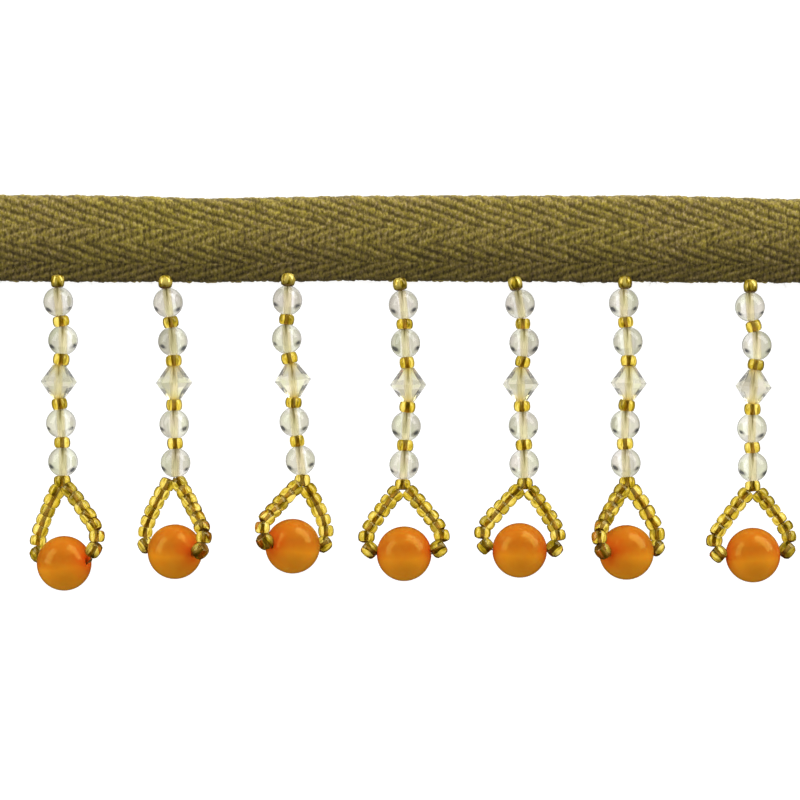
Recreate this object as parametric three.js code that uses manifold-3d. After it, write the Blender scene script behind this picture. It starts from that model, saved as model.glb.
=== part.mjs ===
// A cut length of beaded fringe, lying face up on a table.
// A herringbone tape, folded lengthwise, holds seven drops by their threads. Each drop is a thread strung
// with gold seed beads, four clear round beads and a clear bicone, and it ends in a loop of seed beads
// that runs through an amber ball.
// Millimetres. +X runs along the tape, +Y from the drops towards the fold, +Z up from the table.
import * as THREE from "three";
import { mergeVertices } from "three/addons/utils/BufferGeometryUtils.js";
import Module from "manifold-3d";

const wasm = await Module();
wasm.setup();

// Driving dimensions
const TAPE = {
  length: 121, // cut length
  width: 12.5, // from the lower edge to the fold
  layer: 1.0, // thickness of the cloth
  gap: 0.95, // between the two layers, where the threads are held
  crown: 0.4, // rise of the front layer over its middle
  edgeDrop: 0.5, // fall of the front layer at the lower edge
  stations: 22, // along the length
  curveSteps: 4, // points on each round stretch of the section
};
const THREAD = {
  radius: 0.17,
  sides: 6,
  held: 3.4, // how far it runs in between the tape's layers
  mouth: 1.0, // from the top seed's middle to where it enters the fold
};
const SEED = {
  radius: 1.2,
  length: 1.1, // of one that is parted from the beads beside it
  pitch: 1.62, // of those that touch along a loop
  neck: 0.62, // radius where two of them touch
  shoulder: 0.5, // share of the half length where the radius is full
  room: 1.7, // space between two larger beads
  slack: 0.2, // bare thread under the top seed
  lift: 0.1, // of the top seed above the middle of the fold and the first bead
};
const ROUND = { radius: 2.2, length: 3.95, bore: 0.65, sides: 10, rings: 6 };
const BICONE = { radius: 2.5, length: 4.8, tip: 1.0, girdle: 0.3, bore: 0.68, sides: 8 };
const BALL = { radius: 4.0, bore: 0.65, rim: 1.04, sides: 12, rings: 8, sink: 0.2 };
const LOOP = {
  side: 5.3, // from the ball's centre to the seed at each end of its bore
  sideSlope: 0.25, // and further out by this share of its ride
  mouth: 4.3, // where the thread is clear of the bore
  straight: 3.0, // and where it lies straight in it
  corner: 5.5, // out to the last seed of a leg
  rise: 2.4, // and up towards the stem
  sideClear: 5.4, // from the ball's centre to the seed beside it, where the table pushes that out
  cornerClear: 5.9, // and to the last seed of a leg
  first: 1.75, // from the junction to the first seed of a leg
  firstUnknotted: 1.35, // and where the junction has no seed of its own
  bow: 0.35, // how far a leg bends outwards
};
const SEAT = { clearance: 0.42, length: 3.4, sides: 10 }; // room for a top seed in the tape's edge
const FLOOR_CLEARANCE = 0.06;
const WELD = 1e-4;
const SPAN_STEPS = 24; // a curve is measured in these between two of its points
const UP = new THREE.Vector3(0, 0, 1);

// The tape's edges wander from straight: how far the fold and the lower edge stand out at places along it.
const EDGES = [
  { x: -60.5, fold: 0.25, lower: -0.1 },
  { x: -45, fold: 0.1, lower: 0.05 },
  { x: -29, fold: -0.3, lower: 0.1 },
  { x: -8, fold: 0.0, lower: -0.1 },
  { x: 12, fold: 0.1, lower: 0.0 },
  { x: 36, fold: 0.05, lower: 0.1 },
  { x: 60.5, fold: -0.4, lower: 0.15 },
];

// One row a drop. root is its place along the tape and hang how far its top seed sits below the edge.
// The sways are sideways from the root at each bead, at the junction and at the ball, and reach is the
// depth of the ball's centre. The loop is turned about the drop, so that one side stands up, and rolled
// in the plane of the table. ride is how far the seeds beside the ball stand above its bore. knotted
// drops have a seed where the loop's two legs part.
const DROPS = [
  { root: -50.2, hang: 0.0, round1: 0.1, round2: 0.8, bicone: 0.2, round3: 0.5, round4: 0.8,
    junction: 0.7, ball: 1.1, reach: 41.3, turn: 25, roll: 5, ride: 1.6, knotted: true },
  { root: -34.4, hang: 0.15, round1: 0.4, round2: 1.1, bicone: 1.3, round3: 1.3, round4: 1.5,
    junction: 1.2, ball: 1.5, reach: 39.6, turn: 42, roll: -4, ride: 0.3, knotted: false },
  { root: -16.4, hang: -0.2, round1: -0.1, round2: -0.2, bicone: 0.7, round3: 0.9, round4: 1.8,
    junction: 2.1, ball: 0.7, reach: 38.8, turn: -38, roll: -4, ride: 0.3, knotted: true },
  { root: 0.0, hang: 0.45, round1: 0.5, round2: 0.8, bicone: 1.2, round3: 0.9, round4: 0.6,
    junction: 0.4, ball: 0.6, reach: 39.9, turn: 5, roll: 1, ride: 0.4, knotted: true },
  { root: 16.9, hang: 0.35, round1: 0.7, round2: 1.3, bicone: 0.8, round3: 1.2, round4: 1.3,
    junction: 1.4, ball: 0.6, reach: 39.4, turn: 0, roll: -2, ride: 0.2, knotted: true },
  { root: 33.0, hang: 0.2, round1: -0.2, round2: 0.4, bicone: 0.5, round3: 0.0, round4: 0.1,
    junction: 0.3, ball: 0.1, reach: 39.7, turn: -45, roll: 2, ride: 0.2, knotted: true },
  { root: 51.4, hang: 0.75, round1: -0.1, round2: 0.9, bicone: 0.4, round3: 0.2, round4: 0.3,
    junction: 0.3, ball: 0.2, reach: 40.1, turn: -5, roll: 3, ride: 0.2, knotted: true },
];

// The larger beads of a drop from the top, by the column of their sway.
const BEADS = [
  { column: "round1", size: ROUND },
  { column: "round2", size: ROUND },
  { column: "bicone", size: BICONE },
  { column: "round3", size: ROUND },
  { column: "round4", size: ROUND },
];

const FINISH = {
  tape: { color: 0x857638, roughness: 0.92, metalness: 0 },
  thread: { color: 0xc9a227, roughness: 0.25, metalness: 0.3 },
  clear: { color: 0xf3f0e2, roughness: 0.06, metalness: 0 },
  ball: { color: 0xd2741a, roughness: 0.18, metalness: 0 },
};

// A closed geometry as a solid that can be joined to others and cut.
function solidOf(geometry) {
  const bare = geometry.clone();
  bare.deleteAttribute("normal");
  bare.deleteAttribute("uv");
  const merged = mergeVertices(bare, WELD);
  return new wasm.Manifold(
    new wasm.Mesh({
      numProp: 3,
      vertProperties: merged.attributes.position.array,
      triVerts: Uint32Array.from(merged.index.array),
    }),
  );
}

function geometryOf(solid) {
  const { vertProperties, triVerts } = solid.getMesh();
  const geometry = new THREE.BufferGeometry();
  geometry.setAttribute("position", new THREE.BufferAttribute(vertProperties, 3));
  geometry.setIndex(new THREE.BufferAttribute(triVerts, 1));
  geometry.computeVertexNormals();
  return geometry;
}

function meshOf(name, geometry, finish) {
  const mesh = new THREE.Mesh(geometry, new THREE.MeshStandardMaterial(finish));
  mesh.name = name;
  return mesh;
}

// The radius of a polygon's corners where its sides lie as much inside a circle as its corners outside.
function cornerRadius(radius, sides) {
  return (2 * radius) / (1 + Math.cos(Math.PI / sides));
}

// Turns a profile about Y, with one flat side facing -Z and another +Z.
function turned(profile, sides) {
  return new THREE.LatheGeometry(profile, sides, Math.PI / sides, 2 * Math.PI);
}

// Matrix that stands a turned shape's Y axis along a direction, with its Z as near upright as that allows.
function standing(direction, centre) {
  const side = new THREE.Vector3().crossVectors(direction, UP).normalize();
  const rise = new THREE.Vector3().crossVectors(side, direction);
  return new THREE.Matrix4().makeBasis(side, direction, rise).setPosition(centre);
}

// Bends a shape turned about Y so that its axis follows a curve from the curve's start.
function bent(geometry, curve) {
  const length = curve.getLength();
  const place = geometry.attributes.position;
  const point = new THREE.Vector3();
  for (let i = 0; i < place.count; i += 1) {
    point.fromBufferAttribute(place, i);
    const along = THREE.MathUtils.clamp(point.y / length, 0, 1);
    const frame = standing(curve.getTangentAt(along), curve.getPointAt(along));
    point.setY(0).applyMatrix4(frame);
    place.setXYZ(i, point.x, point.y, point.z);
  }
  return geometry;
}

// A thread along a curve, with seeds centred at some distances from its start and bends at others.
function beadString(curve, { seeds, seedLength, neck, bends = [] }) {
  const length = curve.getLength();
  const full = cornerRadius(SEED.radius, THREAD.sides);
  const half = seedLength / 2;
  const shoulder = half * SEED.shoulder;
  const rings = [0, ...bends, length].map((at) => ({ radius: THREAD.radius, at }));
  for (const centre of seeds) {
    rings.push({ radius: neck, at: centre - half }, { radius: full, at: centre - shoulder });
    rings.push({ radius: full, at: centre + shoulder }, { radius: neck, at: centre + half });
  }
  rings.sort((one, other) => one.at - other.at);
  const parted = rings.filter(({ at }, index) => index === 0 || at - rings[index - 1].at > WELD);
  const profile = parted.map(({ radius, at }) => new THREE.Vector2(radius, at));
  profile.unshift(new THREE.Vector2(0, 0));
  profile.push(new THREE.Vector2(0, length));
  return solidOf(bent(turned(profile, THREAD.sides), curve));
}

// A round bead's profile from one end of the bore to the other and back along the bore.
function ballProfile(radius, bore, endRadius, rings) {
  const span = Math.acos(endRadius / radius);
  const height = radius * Math.sin(span);
  const profile = [new THREE.Vector2(bore, -height)];
  for (let ring = 0; ring < rings; ring += 1) {
    const angle = THREE.MathUtils.lerp(-span, span, ring / (rings - 1));
    profile.push(new THREE.Vector2(radius * Math.cos(angle), radius * Math.sin(angle)));
  }
  profile.push(new THREE.Vector2(bore, height), profile[0].clone());
  return profile;
}

function roundGeometry() {
  const radius = cornerRadius(ROUND.radius, ROUND.sides);
  const endRadius = Math.sqrt(radius ** 2 - (ROUND.length / 2) ** 2);
  return turned(ballProfile(radius, ROUND.bore, endRadius, ROUND.rings), ROUND.sides);
}

function biconeGeometry() {
  const radius = cornerRadius(BICONE.radius, BICONE.sides);
  const half = BICONE.length / 2;
  const profile = [
    new THREE.Vector2(BICONE.bore, -half),
    new THREE.Vector2(BICONE.tip, -half),
    new THREE.Vector2(radius, -BICONE.girdle / 2),
    new THREE.Vector2(radius, BICONE.girdle / 2),
    new THREE.Vector2(BICONE.tip, half),
    new THREE.Vector2(BICONE.bore, half),
  ];
  profile.push(profile[0].clone());
  return turned(profile, BICONE.sides);
}

// How high a bead's bore lies when one of the flat sides round its middle rests on the table.
function restHeight(geometry) {
  geometry.computeBoundingBox();
  return -geometry.boundingBox.min.z;
}

const roundBead = roundGeometry();
const biconeBead = biconeGeometry();
ROUND.rest = restHeight(roundBead);
BICONE.rest = restHeight(biconeBead);

// The folded section: back layer, fold at the top, front layer with a soft crown. X across, Y thick.
function foldedSection() {
  const { width, layer, gap, crown, edgeDrop } = TAPE;
  const inner = gap / 2;
  const outer = inner + layer;
  const bendAt = width - outer;
  const middle = outer;
  const face = 2 * layer + gap;
  const section = new THREE.Shape();
  section.moveTo(0, 0);
  section.lineTo(bendAt, 0);
  section.absarc(bendAt, middle, outer, -Math.PI / 2, Math.PI / 2, false);
  section.quadraticCurveTo(bendAt / 2, face + 2 * crown, 0, face - edgeDrop);
  section.lineTo(0, face - layer);
  section.quadraticCurveTo(bendAt / 2, face - layer + 2 * crown, bendAt, middle + inner);
  section.absarc(bendAt, middle, inner, Math.PI / 2, -Math.PI / 2, true);
  section.lineTo(0, layer);
  section.closePath();
  return section;
}

// The tape along X, with its lower edge at Y 0 and its edges wandering as EDGES says.
function tapeGeometry() {
  const tape = new THREE.ExtrudeGeometry(foldedSection(), {
    depth: TAPE.length,
    steps: TAPE.stations,
    curveSegments: TAPE.curveSteps,
    bevelEnabled: false,
  });
  const across = new THREE.Vector3(0, 1, 0);
  const along = new THREE.Vector3(1, 0, 0);
  tape.applyMatrix4(new THREE.Matrix4().makeBasis(across, UP, along));
  tape.translate(-TAPE.length / 2, 0, 0);
  const wander = new THREE.CubicInterpolant(
    EDGES.map((row) => row.x),
    EDGES.flatMap((row) => [row.fold, row.lower]),
    2,
  );
  const place = tape.attributes.position;
  for (let i = 0; i < place.count; i += 1) {
    const [fold, lower] = wander.evaluate(place.getX(i));
    const share = place.getY(i) / TAPE.width;
    place.setY(i, place.getY(i) + THREE.MathUtils.lerp(-lower, fold, share));
  }
  return tape;
}

// A smooth curve through points, and the distance along it to each of them.
function curveThrough(points) {
  const curve = new THREE.CatmullRomCurve3(points);
  curve.arcLengthDivisions = SPAN_STEPS * (points.length - 1);
  const lengths = curve.getLengths();
  const at = (point) => lengths[SPAN_STEPS * points.indexOf(point)];
  return { curve, at };
}

// Where a drop's thread runs: out of the fold, through the top seed and the larger beads, to the junction.
function stemOf(drop) {
  const inFold = TAPE.layer + TAPE.gap / 2;
  const held = new THREE.Vector3(drop.root, THREAD.held, inFold);
  const mouth = new THREE.Vector3(drop.root, THREAD.mouth - drop.hang, inFold);
  const topSeed = new THREE.Vector3(drop.root, -drop.hang, (inFold + ROUND.rest) / 2 + SEED.lift);
  let depth = drop.hang + SEED.slack + SEED.room / 2;
  const beads = BEADS.map(({ column, size }) => {
    const middle = depth + size.length / 2;
    depth += size.length + SEED.room;
    return new THREE.Vector3(drop.root + drop[column], -middle, size.rest);
  });
  const junction = new THREE.Vector3(drop.root + drop.junction, SEED.room / 2 - depth, ROUND.rest);
  const tail = junction.clone().setY(junction.y - SEED.length / 2);
  const route = curveThrough([held, mouth, topSeed, ...beads, junction, tail]);
  return { ...route, mouth, topSeed, beads, junction };
}

// Lifts a place that lies too near the table, and moves it out so that it stays clear of the ball.
function keptUp(place, { centre, outwards, lowest, clear }) {
  if (place.z >= lowest) return place;
  const lifted = place.clone().setZ(lowest);
  const across = lifted.clone().sub(centre);
  across.addScaledVector(outwards, -across.dot(outwards));
  const out = Math.sqrt(clear ** 2 - across.lengthSq());
  return centre.clone().add(across).addScaledVector(outwards, out);
}

// The loop's places: the ball, the seeds at the ends of its bore and the last seed of each leg.
function loopOf(drop, junction) {
  const turn = THREE.MathUtils.degToRad(drop.turn);
  const roll = THREE.MathUtils.degToRad(drop.roll);
  const level = new THREE.Vector3(Math.cos(roll), Math.sin(roll), 0);
  const bore = level.clone().multiplyScalar(Math.cos(turn)).addScaledVector(UP, Math.sin(turn));
  const centre = new THREE.Vector3(drop.root + drop.ball, -drop.reach, BALL.radius - BALL.sink);
  const towards = junction.clone().sub(centre);
  towards.addScaledVector(bore, -towards.dot(bore)).normalize();
  const lowest = cornerRadius(SEED.radius, THREAD.sides) + FLOOR_CLEARANCE;
  const sides = [-1, 1].map((sign) => {
    const outwards = level.clone().multiplyScalar(sign);
    const along = (out, up) => {
      return centre.clone().addScaledVector(bore, sign * out).addScaledVector(towards, up);
    };
    const mouth = along(LOOP.mouth, 0);
    const straight = along(LOOP.straight, 0);
    const beside = along(LOOP.side + LOOP.sideSlope * drop.ride, drop.ride);
    const end = keptUp(beside, { centre, outwards, lowest, clear: LOOP.sideClear });
    const last = along(LOOP.corner, LOOP.rise + drop.ride);
    const corner = keptUp(last, { centre, outwards, lowest, clear: LOOP.cornerClear });
    const middle = junction.clone().lerp(corner, 0.5).addScaledVector(outwards, LOOP.bow);
    return { straight, mouth, end, corner, middle };
  });
  return { centre, bore, sides };
}

// One leg of the loop, from the junction to the seed beside the ball.
function legSolid(junction, first, { middle, corner, end }) {
  const { curve, at } = curveThrough([junction, middle, corner, end]);
  const strung = at(corner) - first;
  const spans = Math.round(strung / SEED.pitch);
  const pitch = strung / spans;
  const seeds = Array.from({ length: spans + 1 }, (_, index) => first + index * pitch);
  return beadString(curve, { seeds, seedLength: pitch, neck: SEED.neck });
}

// The thread through the ball, with a seed at each end of the bore.
function boreSolid({ sides: [left, right] }) {
  const outside = ({ end, mouth }) => end.clone().sub(mouth).setLength(SEED.pitch / 2).add(end);
  const half = (side) => [outside(side), side.end, side.mouth, side.straight];
  const { curve, at } = curveThrough([...half(left), ...half(right).reverse()]);
  const bends = [left.mouth, left.straight, right.straight, right.mouth].map(at);
  const seeds = [left.end, right.end].map(at);
  return beadString(curve, { seeds, seedLength: SEED.length, neck: THREAD.radius, bends });
}

// A drop's thread with all its seeds, as one solid.
function threadGeometry(drop, stem, loop) {
  const seeds = [stem.at(stem.topSeed)];
  BEADS.slice(1).forEach(({ size }, index) => {
    const from = stem.at(stem.beads[index]) + BEADS[index].size.length / 2;
    const to = stem.at(stem.beads[index + 1]) - size.length / 2;
    seeds.push((from + to) / 2);
  });
  if (drop.knotted) seeds.push(stem.at(stem.junction));
  const bends = [stem.mouth, ...stem.beads].map(stem.at);
  let whole = beadString(stem.curve, { seeds, seedLength: SEED.length, neck: THREAD.radius, bends });
  const first = drop.knotted ? LOOP.first : LOOP.firstUnknotted;
  for (const side of loop.sides) whole = whole.add(legSolid(stem.junction, first, side));
  return geometryOf(whole.add(boreSolid(loop)));
}

// The amber ball, with a small flat spot where it rests on the table.
function ballGeometry({ centre, bore }) {
  const radius = cornerRadius(BALL.radius, BALL.sides);
  const profile = ballProfile(radius, BALL.bore, BALL.rim, BALL.rings);
  const ball = turned(profile, BALL.sides).applyMatrix4(standing(bore, centre));
  const wide = 4 * BALL.radius;
  const table = new THREE.BoxGeometry(wide, wide, wide);
  table.translate(centre.x, centre.y, -wide / 2);
  return geometryOf(solidOf(ball).subtract(solidOf(table)));
}

// The room that a drop's top seed takes up in the tape's lower edge.
function seedSeat(topSeed) {
  const radius = SEED.radius + SEAT.clearance;
  const upper = topSeed.y + SEED.length / 2 + SEAT.clearance;
  const seat = new THREE.CylinderGeometry(radius, radius, SEAT.length, SEAT.sides);
  seat.translate(topSeed.x, upper - SEAT.length / 2, topSeed.z);
  return solidOf(seat);
}

const fringe = new THREE.Group();
let tape = solidOf(tapeGeometry());
DROPS.forEach((drop, index) => {
  const name = `drop_${index + 1}`;
  const stem = stemOf(drop);
  const loop = loopOf(drop, stem.junction);
  const group = new THREE.Group();
  group.add(meshOf(`${name}_thread`, threadGeometry(drop, stem, loop), FINISH.thread));
  BEADS.forEach(({ column, size }, order) => {
    const share = stem.at(stem.beads[order]) / stem.curve.getLength();
    const direction = stem.curve.getTangentAt(share).setZ(0).normalize();
    const shape = size === ROUND ? roundBead : biconeBead;
    const bead = meshOf(`${name}_${column}`, shape, FINISH.clear);
    standing(direction, stem.beads[order]).decompose(bead.position, bead.quaternion, bead.scale);
    group.add(bead);
  });
  group.add(meshOf(`${name}_ball`, ballGeometry(loop), FINISH.ball));
  fringe.add(group);
  tape = tape.subtract(seedSeat(stem.topSeed));
});
fringe.add(meshOf("heading_tape", geometryOf(tape), FINISH.tape));

// The origin is under the middle of the whole length, on the table.
const bounds = new THREE.Box3().setFromObject(fringe, true);
const middle = bounds.getCenter(new THREE.Vector3());
fringe.position.set(-middle.x, -middle.y, -bounds.min.z);

const part = new THREE.Group();
part.add(fringe);
export default part;
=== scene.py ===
"""Looks of a cut length of beaded fringe: a folded herringbone tape and seven drops of strung beads.

Metres. +X runs along the tape, +Y from the drops towards the tape's fold, and +Z up from the table.
"""

import math
from typing import NamedTuple

import bpy
import numpy as np
from bpy.props import FloatProperty, FloatVectorProperty, PointerProperty
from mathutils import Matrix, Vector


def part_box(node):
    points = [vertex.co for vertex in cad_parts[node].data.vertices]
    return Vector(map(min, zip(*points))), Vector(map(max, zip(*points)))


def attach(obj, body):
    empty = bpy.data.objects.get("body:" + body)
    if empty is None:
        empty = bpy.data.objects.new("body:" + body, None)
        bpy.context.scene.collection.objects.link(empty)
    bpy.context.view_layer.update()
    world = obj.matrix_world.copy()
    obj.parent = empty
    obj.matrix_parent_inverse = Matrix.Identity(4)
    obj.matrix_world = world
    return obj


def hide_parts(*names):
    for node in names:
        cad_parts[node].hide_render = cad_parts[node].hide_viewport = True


bl_info = {
    "name": "Beaded fringe",
    "version": (1, 0, 0),
    "blender": (4, 5, 0),
    "location": "3D View > Sidebar > Fringe",
    "description": "Makes a cut length of beaded fringe around its solids",
    "category": "Object",
}

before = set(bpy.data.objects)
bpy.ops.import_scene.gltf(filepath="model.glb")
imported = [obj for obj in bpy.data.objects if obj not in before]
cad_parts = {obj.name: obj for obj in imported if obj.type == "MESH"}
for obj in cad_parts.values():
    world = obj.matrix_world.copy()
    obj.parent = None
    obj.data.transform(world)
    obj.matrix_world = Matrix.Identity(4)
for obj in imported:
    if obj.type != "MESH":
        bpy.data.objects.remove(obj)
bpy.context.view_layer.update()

MM = 0.001
BODY = "root"
UP = np.array((0.0, 0.0, 1.0))
LEVEL = np.array((1.0, 1.0, 0.0))


class Hang(NamedTuple):
    """How one drop hangs: places in millimetres along the tape, angles in degrees."""

    root: float  # the top seed's place along the tape
    hang: float  # how far the top seed sits below the tape's edge
    junction: float  # sideways from the root to where the loop's legs part
    turn: float  # of the loop about the drop, so that one side stands up
    roll: float  # of the loop in the plane of the table
    ride: float  # how far the seeds beside the ball stand above its bore
    knotted: bool  # a seed sits where the legs part


HANGS = (
    Hang(-50.2, 0.0, 0.7, 25, 5, 1.6, True),
    Hang(-34.4, 0.15, 1.2, 42, -4, 0.3, False),
    Hang(-16.4, -0.2, 2.1, -38, -4, 0.3, True),
    Hang(0.0, 0.45, 0.4, 5, 1, 0.4, True),
    Hang(16.9, 0.35, 1.4, 0, -2, 0.2, True),
    Hang(33.0, 0.2, 0.3, -45, 2, 0.2, True),
    Hang(51.4, 0.75, 0.3, -5, 3, 0.2, True),
)
CLEAR_BEADS = ("round1", "round2", "bicone", "round3", "round4")
BICONE = CLEAR_BEADS.index("bicone")
ROUNDS = [index for index in range(len(CLEAR_BEADS)) if index != BICONE]


class Edge(NamedTuple):
    """How far the tape's fold and lower edge stand out from straight at a place along it, in millimetres."""

    x: float
    fold: float
    lower: float


EDGES = (
    Edge(-60.5, 0.25, -0.1),
    Edge(-45, 0.1, 0.05),
    Edge(-29, -0.3, 0.1),
    Edge(-8, 0.0, -0.1),
    Edge(12, 0.1, 0.0),
    Edge(36, 0.05, 0.1),
    Edge(60.5, -0.4, 0.15),
)


class Band(NamedTuple):
    """A stripe of the herringbone: where it ends, in millimetres down from the fold, its ridges' way,
    and how far they are set along the tape, as a share of their repeat."""

    end: float
    way: int
    step: float


BAND_START = -14.0
BANDS = (
    Band(-11.6, -1, 0.0),
    Band(-9.2, 1, 0.5),
    Band(-6.8, -1, 0.0),
    Band(-4.4, 1, 0.5),
    Band(-2.0, -1, 0.0),
    Band(5.0, 1, 0.22),
    Band(7.15, -1, 0.5),
    Band(9.85, 1, 0.44),
    Band(15.5, -1, -0.04),
)


class Lamp(NamedTuple):
    """Where a light stands, and its width and height."""

    place: tuple
    size: tuple


LAMPS = {
    "key": Lamp((0, 0.46, 0.36), (0.5, 0.5)),
    "left": Lamp((-0.51, 0.24, 0.21), (0.6, 0.3)),
    "right": Lamp((0.41, 0.43, 0.14), (0.8, 0.38)),
}
SKY_HEIGHTS = (0.1, 0.7)  # between these the room changes from its low to its high brightness
CLIP = 100  # how many times nearer and further than the table the camera sees


# Settings

def number(name, description, value, unit="NONE"):
    """A property that is one number."""
    return FloatProperty(name=name, description=description, default=value, unit=unit, precision=5)


def length(name, description, millimetres):
    """A size property, given in millimetres and kept in metres."""
    return number(name, description, millimetres * MM, "LENGTH")


def colour(name, description, rgb):
    """A linear colour property."""
    return FloatVectorProperty(
        name=name, description=description, default=rgb, subtype="COLOR", size=3, min=0, max=1
    )


class TapeSettings(bpy.types.PropertyGroup):
    """The folded tape."""

    length: length("Length", "Cut length of the tape", 121)
    width: length("Width", "From the lower edge to the fold", 12.5)
    layer: length("Layer", "Thickness of the cloth", 1.0)
    gap: length("Gap", "Between the two layers", 0.95)
    crown: length("Crown", "Rise of the front layer over its middle", 0.35)
    droop: length("Droop", "Fall of the front layer at its lower edge", 0.9)
    droop_reach: length("Droop reach", "How far up from the edge the fall begins", 3.2)
    yarn: length("Yarn", "Width of one yarn along the tape", 121 / 132)
    ridge: length("Ridge", "From one ridge to the next across the tape", 1.27)
    repeat: length("Repeat", "From one ridge to the next along the tape", 121 / 33)
    relief: length("Relief", "Height of the ridges", 0.2)
    fibres: number("Fibres", "Loose fibres on a square metre of cloth", 4.5e5)
    fibre_length: length("Fibre length", "Length of a loose fibre", 0.5)
    light: colour("Light yarn", "Top of the yarns", (0.29, 0.225, 0.042))
    bright: colour("Bright yarn", "Bright flecks on the yarns", (0.4, 0.32, 0.12))
    dark: colour("Dark yarn", "Darker yarns", (0.15, 0.11, 0.026))
    yellow: colour("Yellow yarn", "Yellow flecks on the yarns", (0.26, 0.195, 0.022))
    plum: colour("Plum yarn", "Plum flecks on the yarns", (0.12, 0.08, 0.045))
    # Painted shade: darkens the hollows between the yarns and small pits in them
    hollow_shade: colour("Hollows", "Between the yarns", (0.05, 0.035, 0.005))
    # Painted shade: the front curves away from the light towards its lower edge
    painted_lower_shade: colour("Lower tint", "Multiplies the colour at the lower edge", (0.34, 0.32, 0.28))


class BeadSettings(bpy.types.PropertyGroup):
    """The beads and the thread that they are strung on."""

    seed_radius: length("Seed radius", "Radius of a gold seed", 1.2)
    seed_bore: length("Seed bore", "Radius of a seed's hole", 0.2)
    seed_length: length("Seed length", "Length of a seed along the thread", 1.62)
    seed_wobble: number("Seed wobble", "How far a seed tilts on the thread", 0.12)
    seed_variety: number("Seed variety", "How far seeds differ in size, as a share", 0.06)
    round_radius: length("Round radius", "Radius of a clear round bead", 2.18)
    round_bore: length("Round bore", "Radius of its hole", 0.46)
    bicone_radius: length("Bicone radius", "Radius of a bicone's girdle corners", 2.68)
    bicone_length: length("Bicone length", "Length of a bicone", 5.0)
    bicone_tip: length("Bicone tip", "Radius of a bicone's ends", 0.95)
    ball_radius: length("Ball radius", "Radius of an amber ball", 4.0)
    ball_bore: length("Ball bore", "Radius of its hole", 0.5)
    ball_sink: length("Ball sink", "Depth of its flat spot", 0.2)
    ply_radius: length("Ply radius", "Radius of one ply of the thread", 0.1)
    gold: colour("Gold glass", "Glass of the seeds", (0.66, 0.455, 0.015))
    # Painted highlight: pale streaks stand in for the lights' reflections on the seeds
    gold_highlight: colour("Pale gold glass", "Bright streaks in the seeds", (0.98, 0.78, 0.17))
    # Painted shade at the outlines of the seeds
    gold_rim_shade: colour("Gold rims", "Outlines of the seeds", (0.17, 0.11, 0.006))
    # Painted shade at the ends of the seed at the tape, where the tape and the bead below shade it
    gold_end_shade: colour("Gold ends", "Ends of the seeds at the tape", (0.1, 0.06, 0.002))
    gold_shade: colour("Shaded gold", "Seeds beside a ball, towards it", (0.07, 0.035, 0.001))
    lining: colour("Lining", "Lining of the seeds' holes", (0.25, 0.115, 0.002))
    clear: colour("Clear glass", "Glass of the clear beads", (0.55, 0.54, 0.42))
    # Painted light in strips of the clear beads, as facets would refract it
    clear_lit_strip: colour("Pale clear glass", "Pale strips of the clear beads", (0.79, 0.775, 0.71))
    # Painted shade at the outlines of the clear beads
    clear_rim_shade: colour("Clear rims", "Outlines of the clear beads", (0.22, 0.225, 0.19))
    # Painted reflection: dark spots of the surroundings low on each side of the clear beads
    dark_reflection: colour("Smoke", "Smoky spots in the clear beads", (0.006, 0.007, 0.01))
    champagne: colour("Champagne glass", "Glass of the bicones", (0.66, 0.62, 0.38))
    # Painted shade and painted light on the bicones' facets, as their refraction would give
    champagne_shaded: colour("Dark champagne", "Dark facets of the bicones", (0.1, 0.097, 0.06))
    champagne_lit: colour("Pale champagne", "Pale facets of the bicones", (0.86, 0.85, 0.72))
    champagne_end: colour("Champagne ends", "Ends of the bicones", (0.48, 0.38, 0.085))
    # Painted light on the bicones' sides, where refraction shows them dark
    champagne_side_light: colour("Champagne sides", "Sides of the bicones", (0.85, 0.84, 0.72))
    amber: colour("Amber", "Balls above their bores", (0.395, 0.152, 0.0075))
    # Yellower amber below the bores, brightened with painted light where the balls would be in shade
    amber_lit_low: colour("Low amber", "Balls below their bores", (0.74, 0.29, 0.014))
    amber_red: colour("Red amber", "Balls round the ends of their bores", (0.56, 0.07, 0.004))
    # Painted shade low on the balls' sides, where less light reaches
    amber_side_shade: colour("Amber sides", "Balls low on their sides", (0.24, 0.135, 0.012))
    thread: colour("Thread", "Thread on which the beads hang", (0.2, 0.125, 0.015))
    stain: colour("Bore", "The clear beads' bores", (0.64, 0.57, 0.33))
    # The dark line of the thread in the bores, with painted shade that is deepest at their tops
    bore_thread_shade: colour("Dark bore", "Dark streaks in the clear beads' bores", (0.3, 0.25, 0.1))
    stain_pale: colour("Pale bore", "Pale streaks in the clear beads' bores", (0.78, 0.72, 0.52))
    # Painted reflection of the gold seeds at the ends of the bores
    bore_seed_reflection: colour("Bore ends", "Ends of the clear beads' bores", (0.62, 0.42, 0.06))


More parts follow.
